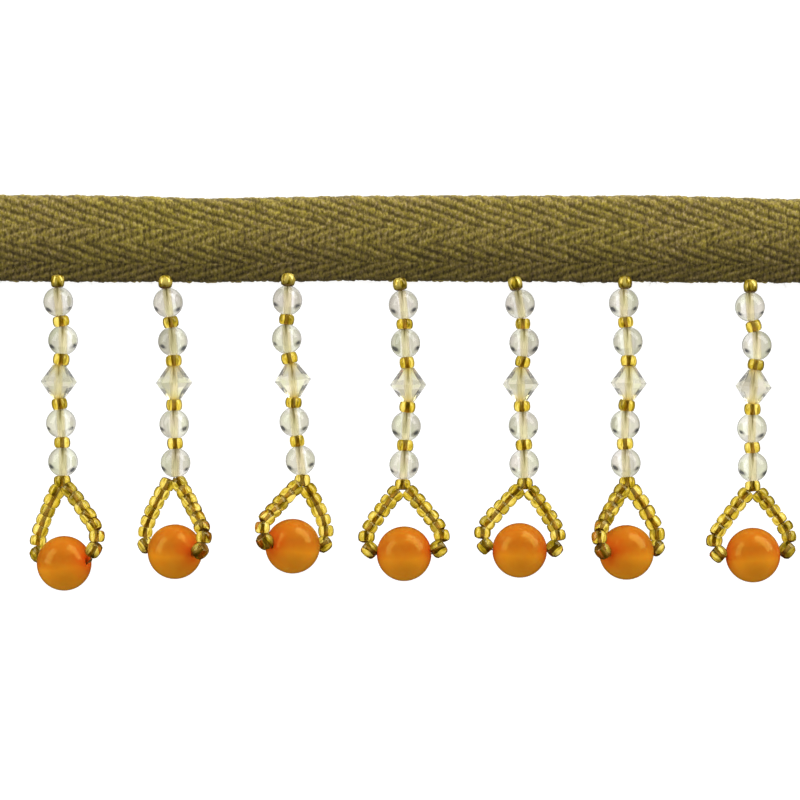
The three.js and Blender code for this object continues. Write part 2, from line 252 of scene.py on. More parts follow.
class LoopSettings(bpy.types.PropertyGroup):
    """The stems and the loops that hold the balls."""

    held: length("Held", "How far a thread runs into the fold", 3.4)
    mouth: length("Mouth", "From the top seed up to where the thread enters the fold", 1.0)
    lift: length("Lift", "Of the top seed above the middle of the fold and the first bead", 0.1)
    room: length("Room", "Between two larger beads", 1.7)
    pitch: length("Pitch", "From seed to seed along a loop", 1.62)
    side: length("Side", "From the ball's centre to the seed beside it", 5.3)
    side_slope: number("Side slope", "Further out, as a share of the ride", 0.25)
    bore_mouth: length("Bore mouth", "From the ball's centre to where the thread leaves it", 4.3)
    corner: length("Corner", "Out to the last seed of a leg", 5.5)
    rise: length("Rise", "And up towards the stem", 2.4)
    side_clear: length("Side clear", "Seed beside the ball, where the table pushes it out", 5.4)
    corner_clear: length("Corner clear", "Last seed of a leg, where the table pushes it out", 5.9)
    lowest: length("Lowest", "Lowest middle of a seed above the table", 1.35)
    first: length("First", "From the junction to a leg's first seed", 1.75)
    first_unknotted: length("First unknotted", "The same on a leg with no seed at the junction", 0.75)
    apart: length("Apart", "Out to the top of a leg with no seed at the junction", 0.55)
    raised: length("Raised", "And up to it", 0.35)
    bow: length("Bow", "How far a leg bends outwards", 0.35)
    top_longer: number("Top longer", "Length of the seed at the tape", 1.12)
    top_narrower: number("Top narrower", "Width of the seed at the tape", 0.88)
    end_longer: number("End longer", "Length of the seeds beside a ball", 1.25)
    further: length("Further", "Of the last seed of a leg, past its corner", 0.15)
    further_slope: number("Further slope", "Further still, as a share of the ride", 0.15)
    nearer: length("Nearer", "Of the seeds beside a ball, towards it", 0.28)
    nearer_slope: number("Nearer slope", "Nearer still, as a share of the ride", 0.3)


class StageSettings(bpy.types.PropertyGroup):
    """Floor, lights and camera."""

    frame_width: length("Frame width", "Width of the picture at the table", 117.65)
    aim_y: length("Aim", "The picture's middle along Y", -1.18)
    lens: number("Lens", "Focal length in millimetres", 200)
    floor_size: length("Floor size", "Side of the floor", 6000)
    floor: colour("Floor", "Colour of the floor", (0.25, 0.25, 0.25))
    floor_glow: number("Floor glow", "Light from the floor itself", 0.93)
    sky_low: number("Low sky", "Brightness of the room round the table", 0.9)
    sky_high: number("High sky", "Brightness of the room above the table", 0.3)
    key_power: number("Key", "Power of the main light", 3.1, "POWER")
    left_power: number("Left", "Power of the left light", 1.5, "POWER")
    right_power: number("Right", "Power of the right light", 3.2, "POWER")


class FringeSettings(bpy.types.PropertyGroup):
    """All settings of the fringe."""

    tape: PointerProperty(type=TapeSettings)
    beads: PointerProperty(type=BeadSettings)
    loop: PointerProperty(type=LoopSettings)
    stage: PointerProperty(type=StageSettings)


# Node trees

class Socket:
    """A node's output that takes part in sums: each operation on it adds a Math node."""

    def __init__(self, tree, socket):
        self.tree = tree
        self.socket = socket

    def beside(self, output):
        """Another output of the same node."""
        return Socket(self.tree, self.tree.pick(self.socket.node.outputs, output))

    def math(self, operation, *terms):
        return self.tree.add("ShaderNodeMath", {"operation": operation}, dict(enumerate(terms)))

    def __add__(self, other):
        return self.math("ADD", self, other)

    def __radd__(self, other):
        return self.math("ADD", other, self)

    def __sub__(self, other):
        return self.math("SUBTRACT", self, other)

    def __rsub__(self, other):
        return self.math("SUBTRACT", other, self)

    def __mul__(self, other):
        return self.math("MULTIPLY", self, other)

    def __rmul__(self, other):
        return self.math("MULTIPLY", other, self)

    def __truediv__(self, other):
        return self.math("DIVIDE", self, other)

    def __pow__(self, other):
        return self.math("POWER", self, other)

    def less_than(self, other):
        return self.math("LESS_THAN", self, other)


class Tree:
    """A node tree that is built up node by node."""

    def __init__(self, tree):
        self.tree = tree

    @staticmethod
    def pick(sockets, key):
        if isinstance(key, int):
            return sockets[key]
        return next(socket for socket in sockets if socket.name == key and socket.enabled)

    def feed(self, node, inputs):
        for key, value in inputs.items():
            socket = self.pick(node.inputs, key)
            if isinstance(value, Socket):
                self.tree.links.new(value.socket, socket)
            else:
                socket.default_value = value

    def add(self, kind, settings=None, inputs=None, output=0):
        """Adds a node, sets it up, feeds its inputs and gives back one of its outputs."""
        node = self.tree.nodes.new(kind)
        for name, value in (settings or {}).items():
            if name == "stops":
                self.set_stops(node.color_ramp, value)
            else:
                setattr(node, name, value)
        self.feed(node, inputs or {})
        return Socket(self, self.pick(node.outputs, output))

    @staticmethod
    def set_stops(ramp, stops):
        while len(ramp.elements) < len(stops):
            ramp.elements.new(1.0)
        for element, (position, rgb) in zip(ramp.elements, stops):
            element.position = position
            element.color = (*rgb, 1.0)

    def eased(self, value, low, high, start=0.0, end=1.0):
        """Goes smoothly from start to end while a value goes from low to high."""
        inputs = {"Value": value, "From Min": low, "From Max": high, "To Min": start, "To Max": end}
        return self.add("ShaderNodeMapRange", {"interpolation_type": "SMOOTHSTEP"}, inputs)

    def vector(self, operation, inputs, output=0):
        return self.add("ShaderNodeVectorMath", {"operation": operation}, inputs, output)

    def z_of(self, vector):
        return self.add("ShaderNodeSeparateXYZ", inputs={0: vector}, output="Z")


class Finish(Tree):
    """A material with one Principled shader."""

    def __init__(self, name):
        self.material = bpy.data.materials.new(name)
        self.material.use_nodes = True
        super().__init__(self.material.node_tree)
        self.shader = self.tree.nodes["Principled BSDF"]

    def set(self, **inputs):
        """Feeds the shader's sockets, named with underscores for spaces."""
        self.feed(self.shader, {name.replace("_", " "): value for name, value in inputs.items()})
        return self.material

    def place(self):
        return self.add("ShaderNodeTexCoord", output="Object")

    def attribute(self, name, output="Fac"):
        return self.add("ShaderNodeAttribute", {"attribute_name": name}, output=output)

    def rim(self):
        """From 0 where a surface is seen face on to 1 at its outline."""
        return self.add("ShaderNodeLayerWeight", inputs={"Blend": 0.5}, output="Facing")

    def mix(self, share, first, second, blend="MIX"):
        """A colour between two colours."""
        settings = {"data_type": "RGBA", "blend_type": blend}
        first, second = (c if isinstance(c, Socket) else (*c, 1.0) for c in (first, second))
        return self.add("ShaderNodeMix", settings, {0: share, 6: first, 7: second}, output=2)

    def tinted(self, base, share, first, second):
        """A colour multiplied by a tint between two tints."""
        return self.mix(1.0, base, self.mix(share, first, second), "MULTIPLY")

    def ramp(self, value, *stops):
        return self.add("ShaderNodeValToRGB", {"stops": stops}, {0: value})

    def clamp(self, value):
        return self.add("ShaderNodeClamp", inputs={"Value": value})

    def noise(self, vector, scale, detail=2.0):
        inputs = {"Vector": vector, "Scale": scale, "Detail": detail}
        return self.add("ShaderNodeTexNoise", inputs=inputs)

    def spread(self, noise):
        """Noise drawn out until it reaches both 0 and 1."""
        return self.clamp(noise * 4.0 - 1.5)

    def stretch(self, vector, scale):
        return self.add("ShaderNodeMapping", inputs={"Vector": vector, "Scale": scale})

    def bump(self, height, distance, strength=1.0):
        inputs = {"Height": height, "Distance": distance, "Strength": strength}
        return self.add("ShaderNodeBump", inputs=inputs)


class Growth(Tree):
    """A geometry node tree with named inputs, run once on a mesh."""

    SOCKETS = {
        "size": "NodeSocketFloat",
        "count": "NodeSocketInt",
        "material": "NodeSocketMaterial",
    }

    def __init__(self, name, **inputs):
        group = bpy.data.node_groups.new(name, "GeometryNodeTree")
        super().__init__(group)
        group.interface.new_socket("Geometry", in_out="INPUT", socket_type="NodeSocketGeometry")
        group.interface.new_socket("Geometry", in_out="OUTPUT", socket_type="NodeSocketGeometry")
        self.identifiers = {}
        for label, kind in inputs.items():
            socket = group.interface.new_socket(label, in_out="INPUT", socket_type=self.SOCKETS[kind])
            self.identifiers[label] = socket.identifier
        self.source = group.nodes.new("NodeGroupInput")
        self.geometry = self.given("Geometry")

    def given(self, label):
        return Socket(self, self.pick(self.source.outputs, label))

    def named(self, name, kind):
        return self.add("GeometryNodeInputNamedAttribute", {"data_type": kind}, {"Name": name})

    def stored(self, geometry, name, value, kind, domain):
        settings = {"data_type": kind, "domain": domain}
        inputs = {"Geometry": geometry, "Name": name, "Value": value}
        return self.add("GeometryNodeStoreNamedAttribute", settings, inputs)

    def random(self, low, high, seed, kind="FLOAT_VECTOR"):
        output = 0 if kind == "FLOAT_VECTOR" else 1
        inputs = {"Min": low, "Max": high, "Seed": seed}
        return self.add("FunctionNodeRandomValue", {"data_type": kind}, inputs, output)

    def vector_of(self, x, y=0.0, z=0.0):
        return self.add("ShaderNodeCombineXYZ", inputs={0: x, 1: y, 2: z})

    def circle(self, sides, radius):
        inputs = {"Resolution": sides, "Radius": radius}
        return self.add("GeometryNodeCurvePrimitiveCircle", inputs=inputs)

    def tube(self, curve, profile, capped=True):
        inputs = {"Curve": curve, "Profile Curve": profile, "Fill Caps": capped}
        return self.add("GeometryNodeCurveToMesh", inputs=inputs)

    def smooth(self, geometry):
        return self.add("GeometryNodeSetShadeSmooth", inputs={"Geometry": geometry})

    def spun(self, rotation, angles):
        """A rotation turned further about its own axes."""
        by = self.add("FunctionNodeEulerToRotation", inputs={"Euler": angles})
        inputs = {"Rotation": rotation, "Rotate By": by}
        return self.add("FunctionNodeRotateRotation", {"rotation_space": "LOCAL"}, inputs)

    def copies(self, points, shape, rotation, size):
        inputs = {"Points": points, "Instance": shape, "Rotation": rotation, "Scale": size}
        return self.add("GeometryNodeInstanceOnPoints", inputs=inputs)

    def painted(self, geometry, material, **where):
        inputs = {"Geometry": geometry, "Material": self.given(material), **where}
        return self.add("GeometryNodeSetMaterial", inputs=inputs)

    def end(self, geometry, material, **others):
        """Realizes the geometry and gives it its material, and others by the attribute that they name."""
        made = self.add("GeometryNodeRealizeInstances", inputs={"Geometry": geometry})
        made = self.painted(made, material)
        for attribute, other in others.items():
            made = self.painted(made, other, Selection=self.named(attribute, "BOOLEAN"))
        self.tree.links.new(made.socket, self.tree.nodes.new("NodeGroupOutput").inputs[0])
        return self

    def run(self, name, mesh, **values):
        """The mesh that the tree makes from another with these inputs."""
        carrier = bpy.data.objects.new(name, mesh)
        bpy.context.scene.collection.objects.link(carrier)
        modifier = carrier.modifiers.new(name, "NODES")
        modifier.node_group = self.tree
        for label, value in values.items():
            modifier[self.identifiers[label]] = value
        graph = bpy.context.evaluated_depsgraph_get()
        made = bpy.data.meshes.new_from_object(carrier.evaluated_get(graph))
        made.name = name
        carrier.modifiers.remove(modifier)
        bpy.data.objects.remove(carrier)
        return made


# Shapes

def mesh_from(name, points, faces, smooth=True):
    """A mesh whose faces point outwards."""
    points = np.asarray(points, float)
    mesh = bpy.data.meshes.new(name)
    mesh.from_pydata(points.tolist(), [], faces)
    mesh.validate()
    mesh.calc_loop_triangles()
    corners = points[np.array([tuple(t.vertices) for t in mesh.loop_triangles])]
    volume = np.einsum("ij,ij->", corners[:, 0], np.cross(corners[:, 1], corners[:, 2]))
    if volume < 0:
        mesh.flip_normals()
    mesh.polygons.foreach_set("use_smooth", [smooth] * len(mesh.polygons))
    return mesh


def add_values(mesh, domain="POINT", kind="FLOAT", **layers):
    """Stores a number, a vector or a mark on a mesh for each point or face."""
    field = "vector" if kind == "FLOAT_VECTOR" else "value"
    number_type = bool if kind == "BOOLEAN" else np.float32
    for name, values in layers.items():
        layer = mesh.attributes.new(name, kind, domain)
        layer.data.foreach_set(field, np.asarray(values, number_type).ravel())


def paint(mesh, *materials, second=None):
    """Gives a mesh its materials, and says which faces have the second."""
    for material in materials:
        mesh.materials.append(material)
    if second is not None:
        mesh.polygons.foreach_set("material_index", second.astype(np.int32))
    return mesh


def darker(rgb, share):
    return [share * part for part in rgb]


def either_way(limits):
    return [-limit for limit in limits], limits


def joined(shapes):
    """Points and faces of several shapes as one."""
    points, faces, count = [], [], 0
    for some_points, some_faces in shapes:
        points.append(some_points)
        faces.extend([corner + count for corner in face] for face in some_faces)
        count += len(some_points)
    return np.vstack(points), faces


def turned(profile, sides):
    """Turns a closed profile of (radius, along) about Y, with a flat side facing each way along Z."""
    radius, along = np.asarray(profile, float).T
    angle = (np.arange(sides) + 0.5) * 2 * math.pi / sides + math.pi / 2
    x, z = np.outer(np.cos(angle), radius), np.outer(np.sin(angle), radius)
    points = np.stack((x, np.broadcast_to(along, x.shape), z), axis=-1)
    return points.reshape(-1, 3), ring_faces(sides, len(along))


def ring_faces(rings, steps):
    """Quads between closed rings of points that close on each other."""
    faces = []
    for ring in range(rings):
        here, there = ring * steps, (ring + 1) % rings * steps
        for step in range(steps):
            beside = (step + 1) % steps
            faces.append([here + step, here + beside, there + beside, there + step])
    return faces


def stood(points, direction, centre):
    """Points moved so that their Y axis lies along a direction, with Z as near upright as that allows."""
    side = np.cross(direction, UP)
    side /= np.linalg.norm(side)
    rise = np.cross(side, direction)
    return points @ np.stack((side, direction, rise)) + centre


def resting(points):
    """Points kept on or above the table."""
    return np.column_stack((points[:, :2], np.maximum(points[:, 2], 0)))


def centre_of(node):
    low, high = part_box(node)
    return np.array((low + high) / 2)


def unit(vectors):
    return vectors / np.linalg.norm(vectors, axis=-1, keepdims=True)


def distances_along(line):
    steps = np.linalg.norm(np.diff(line, axis=0), axis=1)
    return np.concatenate(([0.0], np.cumsum(steps)))


def read_off(distances, along, table):
    """Rows of a table between those that stand at distances along a line."""
    return np.column_stack([np.interp(distances, along, axis) for axis in table.T])


class Route:
    """A thread's smooth way through points."""

    STEPS = 24
    NUDGE = 0.1 * MM

    def __init__(self, points):
        points = np.asarray(points, float)
        ends = np.vstack((2 * points[0] - points[1], points, 2 * points[-1] - points[-2]))
        share = np.linspace(0, 1, self.STEPS, endpoint=False)[:, None]
        spans = [self.span(share, *ends[i : i + 4]) for i in range(len(points) - 1)]
        self.line = np.vstack((*spans, points[-1:]))
        self.along = distances_along(self.line)

    @staticmethod
    def span(share, before, start, end, after):
        """Points of a centripetal curve between two of its points."""
        first, middle, last = (
            math.sqrt(np.linalg.norm(step)) for step in (start - before, end - start, after - end)
        )
        leave = (start - before) / first - (end - before) / (first + middle) + (end - start) / middle
        reach = (end - start) / middle - (after - start) / (middle + last) + (after - end) / last
        leave, reach = leave * middle, reach * middle
        square = 3 * (end - start) - 2 * leave - reach
        cube = 2 * (start - end) + leave + reach
        return start + share * leave + share**2 * square + share**3 * cube

    def to(self, index):
        """Distance to one of the points."""
        return self.along[index * self.STEPS]

    def places(self, distances):
        return read_off(distances, self.along, self.line)

    def directions(self, distances):
        distances = np.asarray(distances)
        return unit(self.places(distances + self.NUDGE) - self.places(distances - self.NUDGE))


def lower_edge(tape):
    """Where the tape's lower edge lies along Y."""
    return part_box("heading_tape")[1].y - tape.width - max(row.fold for row in EDGES) * MM


class Drop:
    """Where one drop's beads and threads lie."""

    TOP = 2  # the top seed and the first bead, as points of the stem
    FIRST_BEAD = 3
    CORNER = 2  # the last seed of a leg and the seed beside the ball, as points of the leg
    END = 3
    END_BACK = 0.12  # how far the seed beside the ball is moved back towards the corner, as a share

    def __init__(self, order, hang, settings):
        self.name = f"drop_{order}"
        self.hang = hang
        self.loop = settings.loop
        tape = settings.tape
        edge = lower_edge(tape)
        self.beads = [centre_of(f"{self.name}_{bead}") for bead in CLEAR_BEADS]
        self.lengths = [np.ptp(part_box(f"{self.name}_{bead}"), axis=0)[1] for bead in CLEAR_BEADS]
        in_fold = tape.layer + tape.gap / 2
        top = np.array((hang.root * MM, edge - hang.hang * MM, 0))
        top[2] = (in_fold + self.beads[0][2]) / 2 + self.loop.lift
        held = np.array((top[0], edge + self.loop.held, in_fold))
        mouth = np.array((top[0], top[1] + self.loop.mouth, in_fold))
        last = self.beads[-1]
        below = last[1] - (self.lengths[-1] + self.loop.room) / 2
        self.junction = np.array(((hang.root + hang.junction) * MM, below, last[2]))
        stops = [held, mouth, top, *self.beads, self.junction]
        if hang.knotted:
            stops.append(self.junction - (0, self.loop.room / 3, 0))
        self.stem = Route(stops)
        self.stops = [self.stem.to(self.FIRST_BEAD + index) for index in range(len(self.beads))]
        ball = centre_of(f"{self.name}_ball")
        self.ball = np.array((ball[0], ball[1], settings.beads.ball_radius - settings.beads.ball_sink))
        self.hang_loop()
        self.string_seeds()

    def hang_loop(self):
        """Finds the bore of the ball, and the routes of the loop's legs and of the thread in the bore."""
        turn, roll = math.radians(self.hang.turn), math.radians(self.hang.roll)
        level = np.array((math.cos(roll), math.sin(roll), 0))
        self.bore = level * math.cos(turn) + UP * math.sin(turn)
        towards = self.junction - self.ball
        towards = unit(towards - self.bore * (towards @ self.bore))
        ride = self.hang.ride * MM
        out = self.loop.side + self.loop.side_slope * ride
        nearer = self.loop.nearer + self.loop.nearer_slope * ride
        self.legs, ends, mouths = [], [], []
        for sign in (-1, 1):
            outwards = sign * level
            end = self.ball + self.bore * sign * out + towards * ride
            end = self.kept_up(end, outwards, self.loop.side_clear)
            corner = self.ball + self.bore * sign * self.loop.corner + towards * (self.loop.rise + ride)
            corner = self.kept_up(corner, outwards, self.loop.corner_clear)
            start = self.junction
            if not self.hang.knotted:
                start = start + np.array((sign * self.loop.apart, self.loop.raised, 0))
            middle = (start + corner) / 2 + outwards * self.loop.bow
            end = end + self.END_BACK * (corner - end) + unit(self.ball - end) * nearer
            self.legs.append(Route([start, middle, corner, end]))
            ends.append(end)
            mouths.append(self.ball + self.bore * sign * self.loop.bore_mouth)
        self.ends = np.array(ends)
        self.across = Route([ends[0], *mouths, ends[1]])

    def kept_up(self, place, outwards, clear):
        """Lifts a place that lies too near the table, and moves it out to stay clear of the ball."""
        if place[2] >= self.loop.lowest:
            return place
        across = np.array((place[0], place[1], self.loop.lowest)) - self.ball
        across -= outwards * (across @ outwards)
        return self.ball + across + outwards * math.sqrt(clear**2 - across @ across)

    def string_seeds(self):
        """Gathers every seed's place, its thread's direction there, its length and its width."""
        loop = self.loop
        distances = [self.stem.to(self.TOP)]
        for index in range(len(self.stops) - 1):
            above = self.stops[index] + self.lengths[index] / 2
            below = self.stops[index + 1] - self.lengths[index + 1] / 2
            distances.append((above + below) / 2)
        if self.hang.knotted:
            distances.append(self.stem.to(self.FIRST_BEAD + len(self.beads)))
        places = [self.stem.places(distances)]
        axes = [self.stem.directions(distances)]
        lengths = [np.ones(len(distances))]
        lengths[0][0] = loop.top_longer
        first = loop.first if self.hang.knotted else loop.first_unknotted
        for leg in self.legs:
            last = leg.to(self.CORNER) + loop.further + loop.further_slope * self.hang.ride * MM
            strung = last - first
            spans = round(strung / loop.pitch)
            distances = np.linspace(first, last, spans + 1)
            places.append(leg.places(distances))
            axes.append(leg.directions(distances))
            lengths.append(np.full(spans + 1, strung / spans / loop.pitch))
        places.append(self.ends)
        inwards = unit(self.ball - self.ends)
        axes.append(unit(inwards + [leg.directions([leg.to(self.END)])[0] for leg in self.legs]))
        lengths.append(np.full(len(self.ends), loop.end_longer))
        self.seeds = np.vstack(places)
        self.seed_axes = np.vstack(axes)
        self.seed_lengths = np.concatenate(lengths)
        self.seed_widths = np.ones(len(self.seeds))
        self.seed_widths[0] = loop.top_narrower

    def strung(self, points, index):
        """The points of a clear bead where it lies on the stem."""
        way = self.stem.directions([self.stops[index]])[0]
        return resting(stood(points, unit(way * LEVEL), self.beads[index]))

    def lines(self):
        """The thread's routes."""
        legs = [np.vstack((self.junction, leg.line)) for leg in self.legs]
        return [self.stem.line, *legs, self.across.line]


def drops(settings):
    return [Drop(order, hang, settings) for order, hang in enumerate(HANGS, start=1)]


def add_piece(mesh, replaced=(), shades=True):
    """Puts a finished mesh in the scene as a piece of the object. Glass doesn't shade what is behind it."""
    piece = bpy.data.objects.new(mesh.name, mesh)
    piece.visible_shadow = shades
    bpy.context.scene.collection.objects.link(piece)
    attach(piece, BODY)
    if replaced:
        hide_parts(*replaced)


# The tape

class TapeSection:
    """The closed outline across the folded tape: outside from the front's lower edge over the fold, and back
    along the inside. Each point has its place, the way that it faces and its distance down from the fold."""

    OUTER_FRONT = 84
    OUTER_BACK = 16
    INNER = 16
    CAP = np.radians((45, 90, 135))
    CAP_RELIEF = 1.6  # the weave stands out further on the rounded ends of the cloth
    FRONT_POINTS = 200
    FOLD_POINTS = 60

    def __init__(self, tape):
        self.tape = tape
        self.half = tape.layer / 2
        self.centre_line()
        front = np.linspace(0, self.fold_end, self.OUTER_FRONT, endpoint=False)
        back = np.linspace(self.fold_end, self.whole, self.OUTER_BACK)
        inner = np.linspace(self.whole, 0, self.INNER)
        sides = (
            self.offset(np.concatenate((front, back)), self.half),
            self.cap(self.whole, 1),
            self.offset(inner, -self.half),
            self.cap(0, -1),
        )
        self.place, self.facing, self.down, self.woven = (np.concatenate(parts) for parts in zip(*sides))

    def centre_line(self):
        tape, half = self.tape, self.half
        bend = (tape.gap + tape.layer) / 2
        bend_at = tape.width - bend - half
        top = half + 2 * bend
        y = np.linspace(half, bend_at, self.FRONT_POINTS)
        share = y / bend_at
        droop = tape.droop * np.exp(-(((y - half) / tape.droop_reach) ** 2))
        front = np.column_stack((y, top + 4 * tape.crown * share * (1 - share) - droop))
        angle = np.linspace(math.pi / 2, -math.pi / 2, self.FOLD_POINTS)[1:-1]
        fold = np.column_stack((bend_at + bend * np.cos(angle), half + bend + bend * np.sin(angle)))
        y = np.linspace(bend_at, half, self.FOLD_POINTS)
        back = np.column_stack((y, np.full_like(y, half)))
        self.line = np.vstack((front, fold, back))
        self.along = distances_along(self.line)
        self.whole = self.along[-1]
        self.fold_end = self.along[len(front) + len(fold) - 1]
        self.fold_top = self.along[len(front) + len(fold) // 2]
        tangent = unit(np.gradient(self.line, self.along, axis=0))
        self.normal = np.column_stack((-tangent[:, 1], tangent[:, 0]))

    def offset(self, along, distance):
        """The cloth's outside or inside, at a distance from its middle."""
        normal = unit(read_off(along, self.along, self.normal)) * np.sign(distance)
        place = read_off(along, self.along, self.line) + normal * abs(distance)
        woven = np.full(len(along), 1.0 if distance > 0 else 0.0)
        return place, normal, self.fold_top - along, woven

    def cap(self, along, way):
        """The rounded end of the cloth, from its outside to its inside."""
        normal = unit(read_off([along], self.along, self.normal))[0]
        tangent = np.array((normal[1], -normal[0])) * way
        angles = self.CAP if way > 0 else self.CAP[::-1]
        facing = np.outer(np.cos(angles), normal) + np.outer(np.sin(angles), tangent)
        place = read_off([along], self.along, self.line) + self.half * facing
        down = self.fold_top - along - way * self.half * angles
        return place, facing, down, np.sin(angles) * self.CAP_RELIEF


def scatter(*keys):
    """Numbers from 0 to 1 that look random, the same for the same keys."""
    mixed = sum(key * weight for key, weight in zip(keys, (12.9898, 78.233, 37.719)))
    return np.modf(np.abs(np.sin(mixed) * 43758.5453))[0]


def wander(x, values):
    """Follows the values of EDGES along the tape with an even swing from row to row."""
    rows = np.array([row.x for row in EDGES]) * MM
    index = np.clip(np.searchsorted(rows, x) - 1, 0, len(rows) - 2)
    share = (x - rows[index]) / (rows[index + 1] - rows[index])
    eased = share * share * (3 - 2 * share)
    values = np.array(values) * MM
    return values[index] + (values[index + 1] - values[index]) * eased


class Weave:
    """How even the herringbone is. Its sizes are shares of a repeat or of a ridge's height."""

    SLIP = 0.08  # of one yarn against the next
    BEND = 0.06  # of the ridges
    STEPPED = 0.55  # part of a ridge's climb that goes in steps, one to each yarn
    EVEN = 0.45  # and the part that goes evenly
    DOTTED = 0.33  # how far a ridge that runs down breaks into dots
    SOLID = 0.05  # and one that runs up
    VALLEY = (0.72, 0.33)  # depth between the ridges, least and variation
    GAP = (0.2, 0.4)  # depth between the yarns
    YARN = (0.85, 0.3)  # height of the yarns
    FLOOR = 0.1  # height between the ridges
    FIBRE = 0.2  # roughness of the yarns
    HIGHEST = 1.2
    WORN = (0.6 * MM, 2 * MM, 0.25)  # from the lower edge, reach and least depth of the worn yarns
    MIDDLE = 0.6  # height that lies on the cloth's own face
    SWELL = 0.06 * MM  # of the cloth
    SWAY = 0.16 * MM  # of the yarns along the tape
    BENDS = (430, 900)  # waves, in radians to a metre along and across the tape
    SWELLS = ((310, 200), (137, -420))
    SWAYS = (60, 500)


def wave(x, down, along, across):
    return np.sin(x * along + down * across)


def herringbone(tape, x, column, across, down):
    """Height from 0 to 1 of the weave, and a shade for each yarn that shows on its face."""
    ends = np.array([BAND_START, *(band.end for band in BANDS)]) * MM
    ways = np.array([band.way for band in BANDS])
    steps = np.array([band.step for band in BANDS])
    zigzag = np.concatenate(([0.0], np.cumsum(np.diff(ends) * ways)))
    band = np.clip(np.searchsorted(ends, down) - 1, 0, len(BANDS) - 1)
    drift = Weave.SLIP * (scatter(column, 3.1) - 0.5) + Weave.BEND * wave(x, down, *Weave.BENDS)
    along = Weave.STEPPED * (column + 0.5) * tape.yarn + Weave.EVEN * (x + tape.length / 2)
    phase = along / tape.repeat - np.interp(down, ends, zigzag) / tape.ridge
    phase = phase + steps[band] + drift
    shade = scatter(column, np.round(phase), band)
    valley = scatter(column, np.floor(phase), band + 0.5)
    gap = scatter(column, np.round(phase), 7.7)
    edge = np.abs(2 * across - 1) ** 2
    rise = 0.5 + 0.5 * np.cos(2 * math.pi * phase)
    dotted = np.where(ways[band] < 0, Weave.DOTTED, Weave.SOLID)
    depth, deeper = Weave.VALLEY
    rise = 1 - (1 - rise**1.1) * (depth + deeper * valley) * (1 - dotted + 1.3 * dotted * edge)
    start, reach, least = Weave.WORN
    grain = np.clip((tape.width - start - down) / reach, least, 1)
    depth, deeper = Weave.GAP
    rounding = 1 - grain * (depth + deeper * gap * gap) * edge
    fibre = scatter(x * 7919, down * 6151) - 0.5
    low, higher = Weave.YARN
    height = (Weave.FLOOR + 0.9 * rise) * rounding * (low + higher * shade) + Weave.FIBRE * fibre
    return np.clip(height, 0, Weave.HIGHEST), shade


STATIONS_PER_YARN = 5
FUZZ_BEHIND = -1 * MM  # fibres stand on the front and this far over the fold


def tape_mesh(tape):
    """The folded tape, with the herringbone raised in its face."""
    yarns = round(tape.length / tape.yarn)
    station = np.arange(yarns * STATIONS_PER_YARN + 1)
    column = np.minimum(station // STATIONS_PER_YARN, yarns - 1)
    across = station / STATIONS_PER_YARN - column
    x = tape.length * (station / station[-1] - 0.5)
    section = TapeSection(tape)
    grid_x, down = np.meshgrid(x, section.down, indexing="ij")
    height, shade = herringbone(tape, grid_x, column[:, None], across[:, None], down)
    height = height * section.woven
    first, second = (wave(grid_x, down, *each) for each in Weave.SWELLS)
    swell = Weave.SWELL * first * second
    lift = tape.relief * (height - Weave.MIDDLE * section.woven) + swell * section.woven
    lower = wander(x, [row.lower for row in EDGES])[:, None]
    fold = wander(x, [row.fold for row in EDGES])[:, None]
    across_tape, above = section.place.T
    share = across_tape / tape.width
    edge = lower_edge(tape)
    y = edge + across_tape - lower * (1 - share) + fold * share + lift * section.facing[:, 0]
    z = above + lift * section.facing[:, 1]
    sway = Weave.SWAY * wave(grid_x, down, *Weave.SWAYS) * section.woven
    sway = sway * np.minimum(1, (tape.length / 2 - np.abs(grid_x)) / tape.yarn)
    points = np.stack((grid_x + sway, y, np.maximum(z, 0)), axis=-1).reshape(-1, 3)
    steps = len(section.down)
    last = (len(x) - 1) * steps
    faces = ring_faces(len(x), steps)[:last]
    faces += [list(range(steps)), list(range(last + steps - 1, last - 1, -1))]
    mesh = mesh_from("heading_tape_cloth", points, faces)
    add_values(mesh, height=height, shade=shade, lower=np.clip(down / section.down.max(), 0, 1))
    fuzzy = (section.woven > 0.5) & (section.down > FUZZ_BEHIND) & (z > tape.layer)
    add_values(mesh, kind="BOOLEAN", fuzz=fuzzy)
    return mesh


